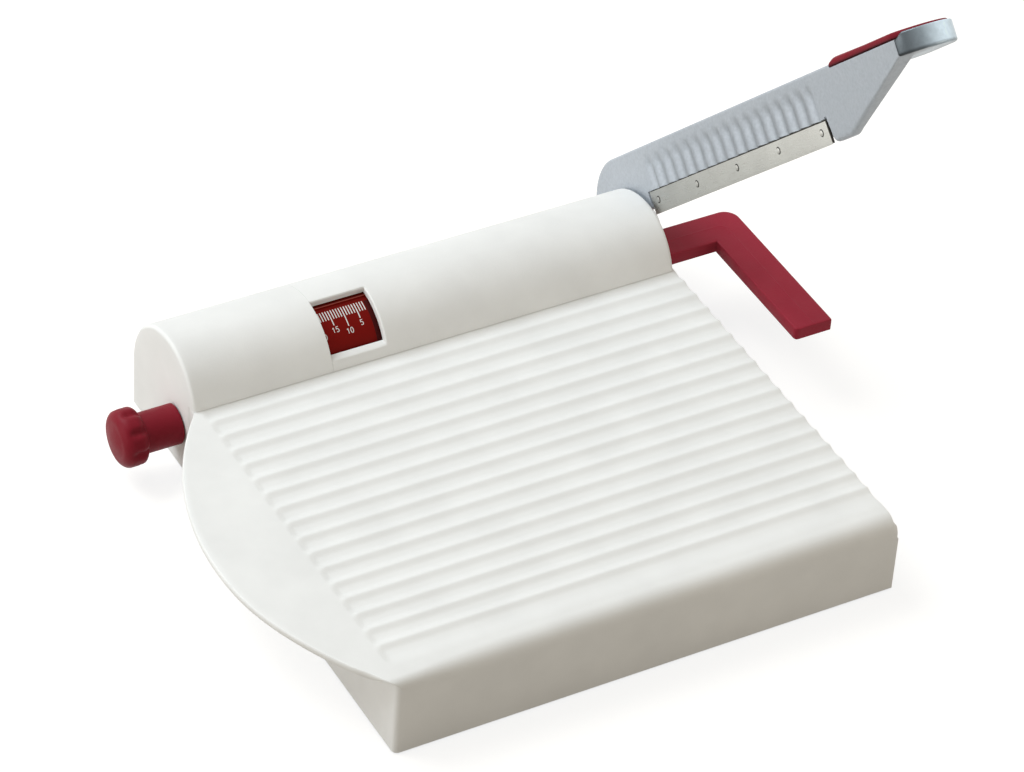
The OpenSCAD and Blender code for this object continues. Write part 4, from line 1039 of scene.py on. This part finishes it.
def handle_outline(s, rear, inset):
    """Closed plan of the handle in u and w: left side, round tip, right side that swells from the arm's
    width, and rear end, drawn in by inset but for the left side. The second array is 0 on the left side and
    rises to 1 round the tip."""
    radius = s.tip_radius
    tip = s.handle_end - radius - inset
    centre = s.handle_width - radius
    start = -math.asin(min(1.0, centre / radius))
    left = points(np.linspace(rear, tip + radius * math.cos(start), 90)[:-1], 0.0)
    turn = np.linspace(start, math.asin((radius - inset) / radius), 90)
    arc = points(tip + radius * np.cos(turn), centre + radius * np.sin(turn))
    right_u = np.linspace(arc[-1, 0], rear, 100)[1:]
    swell = smoothstep(s.pad_rear - 4.0, s.pad_rear + 27.5, right_u)
    right = points(right_u, np.maximum(s.web + (s.handle_width - s.web) * swell - inset, 0.4))
    back = points(rear, np.linspace(right[-1, 1], 0.0, 8)[1:-1])
    lip = smoothstep(0.0, s.lip_start, (turn - start) * radius)
    return (np.concatenate([left, arc, right, back]),
            np.concatenate([np.zeros(len(left)), lip, np.ones(len(right) + len(back))]))


class Plan:
    """A plan of the handle and the rings that are carried round it, in u, v and w.

    A ring is the plan moved inwards by a distance, drawn to a share of itself towards the middle line, at a
    height. The plan is softened: each point moves to the mean of itself and its neighbours, several times."""

    def __init__(self, s, rear, inset, rounds, heart_rear):
        outline, self.lip = handle_outline(s, rear, inset)
        for _ in range(rounds):
            outline = (np.roll(outline, 1, 0) + outline + np.roll(outline, -1, 0)) / 3.0
        ahead = np.roll(outline, -1, 0) - np.roll(outline, 1, 0)
        normal = points(-ahead[:, 1], ahead[:, 0])
        self.outline = outline
        self.normal = normal / np.maximum(np.linalg.norm(normal, axis=1), 1e-9)[:, None]
        tip = s.handle_end - s.tip_radius - inset
        u = np.clip(outline[:, 0], heart_rear, tip)
        rear_w, tip_w = 1.0, (s.handle_width - s.tip_radius) / 2 + 2.0
        self.heart = points(u, rear_w + (tip_w - rear_w) * smoothstep(heart_rear, tip, u))
        self.span = np.linalg.norm(self.heart - outline, axis=1)
        self.rings = []

    def ring(self, distance, height, share=1.0):
        """Adds a ring."""
        moved = self.outline + self.normal * np.broadcast_to(distance, self.span.shape)[:, None]
        flat = self.heart + (moved - self.heart) * share
        self.rings.append(points(flat[:, 0], height, flat[:, 1]))

    def sections(self):
        """The rings in slicer millimetres."""
        return on_lever(*np.moveaxis(np.array(self.rings), -1, 0))


def handle_sections(s):
    """The handle as a profile carried round its plan: underside, lower round, front, upper round, lip and
    seat of the pad. The lip sinks to the seat along the left side, where the pad lies open."""
    rear = s.pad_rear - s.handle_rear
    plan = Plan(s, rear, 0.0, 3, rear + 1.0)
    u, span, lip = plan.outline[:, 0], plan.span, plan.lip
    rise = s.lip_rise * smoothstep(s.pad_rear + 15.0, s.handle_end - s.tip_radius, u)
    seat, low = s.pad_seat, s.handle_low
    top = seat + lip * (s.top + rise - seat)
    corner = tip_corner(s)
    on_left = np.arange(len(u)) <= np.flatnonzero(lip == 0.0)[-1]
    shift = np.where(on_left, s.face_gap * fade(corner - 1.6, corner - 0.3, u), 0.0)
    belly = np.minimum(s.handle_round, span * 0.6)
    brow = np.minimum(s.handle_brow, np.minimum(span * 0.3, (top - low) * 0.3))
    for share in (0.0, 0.5):
        plan.ring(belly, low, share)
    for run, rise in quarter(7):
        plan.ring(belly * rise + shift, low + belly * run)
    for run, rise in quarter(6):
        plan.ring(brow * run + shift, top - brow * rise)
    lip_width = np.maximum(np.minimum(s.lip_width, span * 0.5) * np.maximum(lip, 0.05), brow + 0.05)
    plan.ring(lip_width - 0.02 + shift, top)
    plan.ring(lip_width + 0.05 + shift, np.minimum(seat, top - 0.001))
    for share in (0.5, 0.0):
        plan.ring(lip_width + 0.05, seat, share)
    return plan.sections()


def pad_sections(s):
    """The pad as a profile carried round its plan: a shadow groove at the foot, side, rounded upper edge
    and a slightly crowned top that runs down to a bullet-shaped rear end."""
    rear = s.pad_rear + s.pad_gap
    plan = Plan(s, rear, s.lip_width + s.pad_gap, 4, rear + 0.6)
    seat = s.pad_seat + 0.01

    def thickness(u):
        nose = np.clip((rear + s.pad_nose - u) / s.pad_nose, 0.0, 1.0)
        return s.pad_thickness * (0.12 + 0.88 * np.sqrt(np.maximum(1.0 - nose ** 2, 0.0)))

    height, crown = thickness(plan.outline[:, 0]), thickness(plan.heart[:, 0]) + s.pad_crown
    edge = np.minimum(np.minimum(s.pad_edge, height * 0.6), plan.span * 0.6)
    groove = np.minimum(s.pad_groove, plan.span * 0.3)
    for share in (0.0, 0.6):
        plan.ring(0.0, seat, share)
    plan.ring(groove, seat)
    plan.ring(groove, seat + np.minimum(0.5, height * 0.22))
    plan.ring(0.0, seat + np.minimum(0.56, height * 0.26))
    for run, rise in quarter(7):
        plan.ring(edge * run, seat + height - edge * rise)
    for share in np.linspace(1.0, 0.0, 7)[1:]:
        plan.ring(edge, seat + crown + (height - crown) * share ** 2, share)
    return plan.sections()


def rivet_rings(s, radii, heights, face, ahead=0.0):
    """Rings of the rivets along the blade: a profile of radius and height turned round each rivet's axis,
    set ahead of it, on the left face, or on the right face where face is the arm's thickness."""
    phi = ring_angles(40)
    r, h = np.asarray(radii, float)[:, None], np.asarray(heights, float)[:, None]
    side = -1.0 if face == 0.0 else 1.0
    places = np.linspace(s.blade_rear + s.rivet_inset, s.blade_end - s.rivet_inset, s.rivet_count)
    return [loft(on_lever(u + ahead + r * np.cos(phi), s.rivet_height + r * np.sin(phi), face + side * h))
            for u in places]


def blade_lean_at(s, v, w):
    """Reach of the blade's front end past its upper corner: forward to the cutting edge, back across it."""
    forward = s.blade_lean * (s.blade_back - v) / (s.blade_back - s.foot_low)
    return forward - s.blade_slant * w / s.blade_thickness


def blade_plate(s):
    """Sections of the blade along u: a plate with a bevel ground on its outer face and a front end that
    leans forward to the cutting edge and back to the outer face."""
    low, back, thick = s.foot_low, s.blade_back, s.blade_thickness
    v = np.concatenate([[low], np.linspace(low + 0.4, back, 8), [back, low + s.bevel]])
    w = np.concatenate([[0.02], np.zeros(8), [thick, thick]])
    u = np.stack([np.full_like(v, s.blade_rear), s.blade_end + blade_lean_at(s, v, w)])
    return on_lever(u, v, w)


def blade_gap(s):
    """Painted shadow of the blade against its pocket, as thin dark sheets: one along its back that widens to the
    front, and one on the end face at its front, which fills the slit towards the top."""
    proud = 0.02
    u = np.array([[s.blade_rear + 1.0], [s.blade_end]])
    width = np.array([[0.2], [0.46]])
    back = on_lever(u, s.blade_back - width * np.array([0.0, 0.0, 1.0, 1.0]),
                    proud * np.array([1.0, -1.0, -1.0, 1.0]))
    v = np.array([[s.foot_low + 0.3], [s.blade_back]])
    w = np.array([-proud, -proud, s.blade_thickness - proud, s.blade_thickness - proud])
    out = np.array([[-0.12, 0.02, 0.02, -0.12], [-0.12, 0.4, 0.4, -0.12]])
    u = s.blade_end + blade_lean_at(s, v, w) + out
    end = on_lever(u, v - np.array([[0.0], [1.0]]) * np.clip(w, 0.0, 0.8), w)
    return [loft(back), loft(end)]


def scale_axis():
    """Place of the scale's axis across Y and Z: the centre of the front arch."""
    h = in_mm(bpy.context.scene.slicer_housing)
    return HOUSING_HIGH.y - h.rear_arch, HOUSING_HIGH.z - h.front_arch


def strip(path, width, ink, radius):
    """A printed stroke: a flat path of x and arc length, given a width and laid on the scale's cylinder."""
    middle, height = scale_axis()
    ahead = np.gradient(path, axis=0)
    side = points(-ahead[:, 1], ahead[:, 0])
    side = side / np.linalg.norm(side, axis=1)[:, None] * width / 2

    def lay(flat, r):
        a = flat[:, 1] / radius
        return points(flat[:, 0], middle - r * np.cos(a), height + r * np.sin(a))

    left, right = path + side, path - side
    low, high = radius - ink, radius + ink
    return loft(np.stack([lay(left, low), lay(left, high), lay(right, high), lay(right, low)], 1))


def arc_path(x, y, radius_x, radius_y, start, end, steps):
    """Points on an ellipse round x, y between two angles in degrees."""
    a = np.radians(np.linspace(start, end, steps))
    return points(x + radius_x * np.cos(a), y + radius_y * np.sin(a))


def line_path(*corners):
    """A polyline with a few points on each leg."""
    legs = [np.linspace(a, b, 4)[:-1] for a, b in zip(corners[:-1], corners[1:])]
    return np.concatenate(legs + [[corners[-1]]])


# Strokes of plain numerals in a box one high and 0.55 wide
DIGITS = {
    "0": arc_path(0.27, 0.5, 0.23, 0.46, 90, 449, 24),
    "1": line_path((0.12, 0.72), (0.32, 0.96), (0.32, 0.04)),
    "2": np.concatenate([arc_path(0.27, 0.68, 0.23, 0.28, 160, -40, 14), line_path((0.06, 0.05), (0.52, 0.05))]),
    "5": np.concatenate([line_path((0.48, 0.95), (0.12, 0.95), (0.09, 0.55)),
                         arc_path(0.25, 0.33, 0.25, 0.28, 110, -140, 16)]),
}


def scale_marks(s):
    """Ticks for each millimetre and numerals for each fifth one, laid on the scale's cylinder."""
    top = s.tick_top * s.radius
    pitch = s.digit_pitch * s.digit_height
    parts = []
    for value in range(s.first_tick, s.last_tick + 1):
        x = HOUSING_LOW.x + s.reading - value
        size = s.tick_long if value % 10 == 0 else s.tick_medium if value % 5 == 0 else s.tick_short
        parts.append(strip(points(x, np.linspace(top, top - size, 8)), s.tick_width, s.ink, s.radius))
        numeral = "" if value % 5 else str(value)
        base = top - size - s.digit_gap - s.digit_height
        for i, digit in enumerate(numeral):
            left = x + pitch * (i - len(numeral) / 2) + s.digit_inset * s.digit_height
            flat = np.array([left, base]) + DIGITS[digit] * s.digit_height
            parts.append(strip(flat, s.digit_stroke * s.digit_height, s.ink, s.radius))
    return parts


def scale_bands(s):
    """A painted highlight along the crest of the rib on the scale, and a band of painted shadow at the scale's
    right end.
    """
    window = HOUSING_LOW.x
    x = np.linspace(window - s.rib_before, window + s.rib_after, 30)
    # painted highlight along the rib's crest
    rib_r = s.radius + s.rib_height
    crest = strip(points(x, s.rib_angle * rib_r), s.rib_width, s.ink, rib_r)
    # painted shadow band at the scale's right end
    arc = np.linspace(s.tick_top, s.band_low, 30) * s.radius
    end = strip(points(window + s.reading + s.band_place, arc), s.band_width, s.band_ink, s.radius)
    return crest, end


class SLICER_OT_board(bpy.types.Operator):
    """Builds the grooved board with its round flange"""

    bl_idname = "slicer.board"
    bl_label = "Board"

    def execute(self, context):
        part = loft(board_sections(in_mm(context.scene.slicer_board)))
        piece = mesh_piece("board_body", "base", [part], "white")
        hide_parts("board")
        return {"FINISHED"}


class SLICER_OT_housing(bpy.types.Operator):
    """Builds the housing and its end cover"""

    bl_idname = "slicer.housing"
    bl_label = "Housing and end cover"

    def execute(self, context):
        cover, main = housing_parts(in_mm(context.scene.slicer_housing))
        for name, part, node in (("end_cover_shell", cover, "end_cover"), ("housing_shell", main, "housing")):
            piece = mesh_piece(name, "base", [part], "white")
            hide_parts(node)
        return {"FINISHED"}


class SLICER_OT_stop(bpy.types.Operator):
    """Builds the L-shaped thickness stop"""

    bl_idname = "slicer.stop"
    bl_label = "Thickness stop"

    def execute(self, context):
        part = loft(stop_sections(in_mm(context.scene.slicer_stop)))
        piece = mesh_piece("stop_body", "stop", [part], "stop")
        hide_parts("thickness_stop")
        return {"FINISHED"}


class SLICER_OT_scale(bpy.types.Operator):
    """Prints the ticks and numerals on the scale and adds a painted highlight on its rib and painted shadow at its
    end
    """

    bl_idname = "slicer.scale"
    bl_label = "Scale marks"

    def execute(self, context):
        s = in_mm(context.scene.slicer_scale)
        mesh_piece("scale_marks", "stop", scale_marks(s), "ink")
        crest, end = scale_bands(s)
        # painted highlight on the rib's crest
        mesh_piece("scale_rib_highlight", "stop", [crest], "ridge")
        # painted shadow band at the scale's right end
        mesh_piece("scale_end_band", "stop", [end], "scale_end")
        return {"FINISHED"}


class SLICER_OT_knob(bpy.types.Operator):
    """Builds the knob with its hollows and neck"""

    bl_idname = "slicer.knob"
    bl_label = "Knob"

    def execute(self, context):
        part = loft(knob_sections(in_mm(context.scene.slicer_knob)))
        piece = mesh_piece("knob_body", "dial", [part], "knob")
        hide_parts("knob")
        return {"FINISHED"}


class SLICER_OT_lever(bpy.types.Operator):
    """Builds the cast lever with its ribs, blade pocket and handle"""

    bl_idname = "slicer.lever"
    bl_label = "Lever"

    def execute(self, context):
        s = in_mm(context.scene.slicer_lever)
        arm = [loft(arm_sections(s)), loft(hub_sections(s))]
        piece = mesh_piece("lever_casting", "lever", arm, "cast")
        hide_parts("lever_arm")
        mesh_piece("lever_handle", "lever", [loft(handle_sections(s), False)], "polished")
        return {"FINISHED"}


class SLICER_OT_blade(bpy.types.Operator):
    """Builds the blade, its domed rivets, and dark sheets of painted shadow round the rivets and along the blade
    """

    bl_idname = "slicer.blade"
    bl_label = "Blade and rivets"

    def execute(self, context):
        s = in_mm(context.scene.slicer_lever)
        plate = mesh_piece("blade_plate", "lever", [loft(blade_plate(s))], "steel")
        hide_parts("blade")
        t = np.linspace(0.0, QUARTER, 8)
        radii = np.concatenate([[s.rivet_radius], s.rivet_radius * np.cos(t[:-1]), [0.05]])
        heights = np.concatenate([[-0.3], s.rivet_stand + s.rivet_dome * np.sin(t)])
        heads = rivet_rings(s, radii, heights, 0.0) + rivet_rings(s, radii, heights, s.web)
        piece = mesh_piece("rivet_heads", "lever", heads, "steel")
        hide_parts("blade_rivets")
        # Painted shadow: dark rings round the rivets, and dark strips along the blade's back and front end.
        wide = s.rivet_radius + s.rivet_shadow
        shadows = rivet_rings(s, [wide, wide, 0.1], [-0.2, 0.012, 0.012], 0.0, s.rivet_shift)
        mesh_piece("blade_painted_shadows", "lever", shadows + blade_gap(s), "grime")
        return {"FINISHED"}


class SLICER_OT_pad(bpy.types.Operator):
    """Builds the pad let into the handle"""

    bl_idname = "slicer.pad"
    bl_label = "Grip pad"

    def execute(self, context):
        part = loft(pad_sections(in_mm(context.scene.slicer_lever)), False)
        piece = mesh_piece("grip_pad_body", "lever", [part], "pad")
        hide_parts("grip_pad")
        return {"FINISHED"}


CAD_FINISHES = {
    "bright": ("pivot_bolt", "pivot_nut", "spring_washer", "base_screws", "stop_screws", "guide_rod", "spindle",
               "spindle_clip"),
    "brass": ("drive_nut",),
    "bronze": ("pivot_bush", "spindle_bush"),
    "grey": ("friction_washer", "bearing_bracket", "base_plate"),
    "rubber": ("rubber_feet",),
    "scale": ("scale_slide",),
}


class SLICER_OT_hardware(bpy.types.Operator):
    """Gives the kept solids their finishes"""

    bl_idname = "slicer.hardware"
    bl_label = "Hardware and inner pieces"

    def execute(self, context):
        for kind, nodes in CAD_FINISHES.items():
            for node in nodes:
                materials = frame["nodes"][node].data.materials
                materials.clear()
                materials.append(finish_of(kind))
        return {"FINISHED"}


def seen_rays(tree):
    """1 for rays that show a surface to the camera, straight, by reflection or through glass."""
    rays = add_node(tree, "LightPath").outputs
    seen = rays["Is Camera Ray"]
    for kind in ("Is Glossy Ray", "Is Transmission Ray"):
        seen = add_node(tree, "Math", {0: seen, 1: rays[kind]}, operation="MAXIMUM").outputs[0]
    return seen


def floor_material(shade, tint, strength):
    """Pale floor: plain diffuse, and near white where the camera or a reflection sees it."""
    material = bpy.data.materials.new("pale_floor")
    material.use_nodes = True
    tree = material.node_tree
    tree.nodes.clear()
    level = add_node(tree, "Math", {0: seen_rays(tree), 1: strength}, operation="MULTIPLY").outputs[0]
    diffuse = add_node(tree, "BsdfDiffuse", {"Color": (*shade, 1.0)}).outputs[0]
    glow = add_node(tree, "Emission", {"Color": (*tint, 1.0), "Strength": level}).outputs[0]
    both = add_node(tree, "AddShader", {0: diffuse, 1: glow}).outputs[0]
    add_node(tree, "OutputMaterial", {"Surface": both})
    return material


# Name, place, target, size in metres, watts and colour of each square soft light
LIGHTS = (
    ("key", (-0.85, 1.1, 1.85), (0.0, 0.0, 0.0), 1.4, 39.0, (0.86, 0.93, 1.0)),
    ("side", (-1.9, 0.2, 0.35), (0.0, 0.0, 0.0), 1.2, 12.5, (1.0, 1.0, 1.0)),
    ("front", (0.45, -0.5, 0.2), (0.08, -0.1, 0.02), 0.3, 0.4, (1.0, 0.93, 0.84)),
)


def area_light(name, place, target, size, watts, tint):
    """A square soft light at a place, turned to a target."""
    data = bpy.data.lights.new(name, "AREA")
    data.shape, data.size, data.energy, data.color = "SQUARE", size, watts, tint
    lamp = bpy.data.objects.new(name, data)
    lamp.location = place
    lamp.rotation_euler = (Vector(target) - Vector(place)).to_track_quat("-Z", "Y").to_euler()
    bpy.context.scene.collection.objects.link(lamp)


def camera_axes(values):
    """Turn of the camera: round the part, up from the table, and rolled."""
    round_cos, round_sin = math.cos(values.azimuth), math.sin(values.azimuth)
    level, lift = math.cos(values.elevation), math.sin(values.elevation)
    right = Vector((round_cos, round_sin, 0.0))
    back = Vector((round_sin * level, -round_cos * level, lift))
    up = back.cross(right)
    c, n = math.cos(values.roll), math.sin(values.roll)
    return Matrix((right * c + up * n, up * c - right * n, back)).transposed().to_4x4()


class SLICER_OT_stage(bpy.types.Operator):
    """Sets up the floor, the lights and the camera"""

    bl_idname = "slicer.stage"
    bl_label = "Stage"

    def execute(self, context):
        scene = context.scene
        values = scene.slicer_stage
        scene.view_settings.view_transform = "Standard"

        half = values.floor_size
        mesh = bpy.data.meshes.new("floor")
        mesh.from_pydata([(-half, -half, 0), (half, -half, 0), (half, half, 0), (-half, half, 0)], [],
                         [(0, 1, 2, 3)])
        mesh.materials.append(floor_material(scene.slicer_finishes.floor, values.floor_tint, values.floor_glow))
        floor = bpy.data.objects.new("floor", mesh)
        scene.collection.objects.link(floor)

        world = bpy.data.worlds.new("studio")
        scene.world = world
        world.use_nodes = True
        tree = world.node_tree
        ambient = tree.nodes["Background"]
        ambient.inputs["Color"].default_value = (*values.ambient, 1.0)
        white = add_node(tree, "Background", {"Color": (1.0, 1.0, 1.0, 1.0)})
        choose = add_node(tree, "MixShader", {"Fac": seen_rays(tree), 1: ambient.outputs["Background"],
                                              2: white.outputs["Background"]})
        tree.links.new(choose.outputs["Shader"], tree.nodes["World Output"].inputs["Surface"])

        for light in LIGHTS:
            area_light(*light)

        data = bpy.data.cameras.new("camera")
        data.sensor_width = 36.0
        data.lens = values.lens
        data.shift_x, data.shift_y = values.shift
        data.clip_start, data.clip_end = 0.05, 40.0
        camera = bpy.data.objects.new("camera", data)
        camera.matrix_world = Matrix.Translation(Vector(values.eye)) @ camera_axes(values)
        scene.collection.objects.link(camera)
        scene.camera = camera
        return {"FINISHED"}


STEPS = ("board", "housing", "stop", "scale", "knob", "lever", "blade", "pad", "hardware", "stage")


class SLICER_PT_panel(bpy.types.Panel):
    """Steps that build the slicer"""

    bl_idname = "SLICER_PT_panel"
    bl_label = "Cheese slicer"
    bl_space_type = "VIEW_3D"
    bl_region_type = "UI"
    bl_category = "Slicer"

    def draw(self, context):
        for step in STEPS:
            self.layout.operator("slicer." + step)


GROUPS = {
    "slicer_board": BoardSizes, "slicer_housing": HousingSizes, "slicer_stop": StopSizes,
    "slicer_knob": KnobSizes, "slicer_scale": ScaleSizes, "slicer_lever": LeverSizes,
    "slicer_finishes": FinishColours, "slicer_stage": StageValues,
}
CLASSES = (
    *GROUPS.values(), SLICER_OT_board, SLICER_OT_housing, SLICER_OT_stop, SLICER_OT_scale, SLICER_OT_knob,
    SLICER_OT_lever, SLICER_OT_blade, SLICER_OT_pad, SLICER_OT_hardware, SLICER_OT_stage, SLICER_PT_panel,
)


def register():
    for entry in CLASSES:
        bpy.utils.register_class(entry)
    for name, group in GROUPS.items():
        setattr(bpy.types.Scene, name, PointerProperty(type=group))


def unregister():
    for name in GROUPS:
        delattr(bpy.types.Scene, name)
    for entry in reversed(CLASSES):
        bpy.utils.unregister_class(entry)


def main():
    register()
    for step in STEPS:
        getattr(bpy.ops.slicer, step)()
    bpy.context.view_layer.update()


if __name__ == "__main__":
    main()
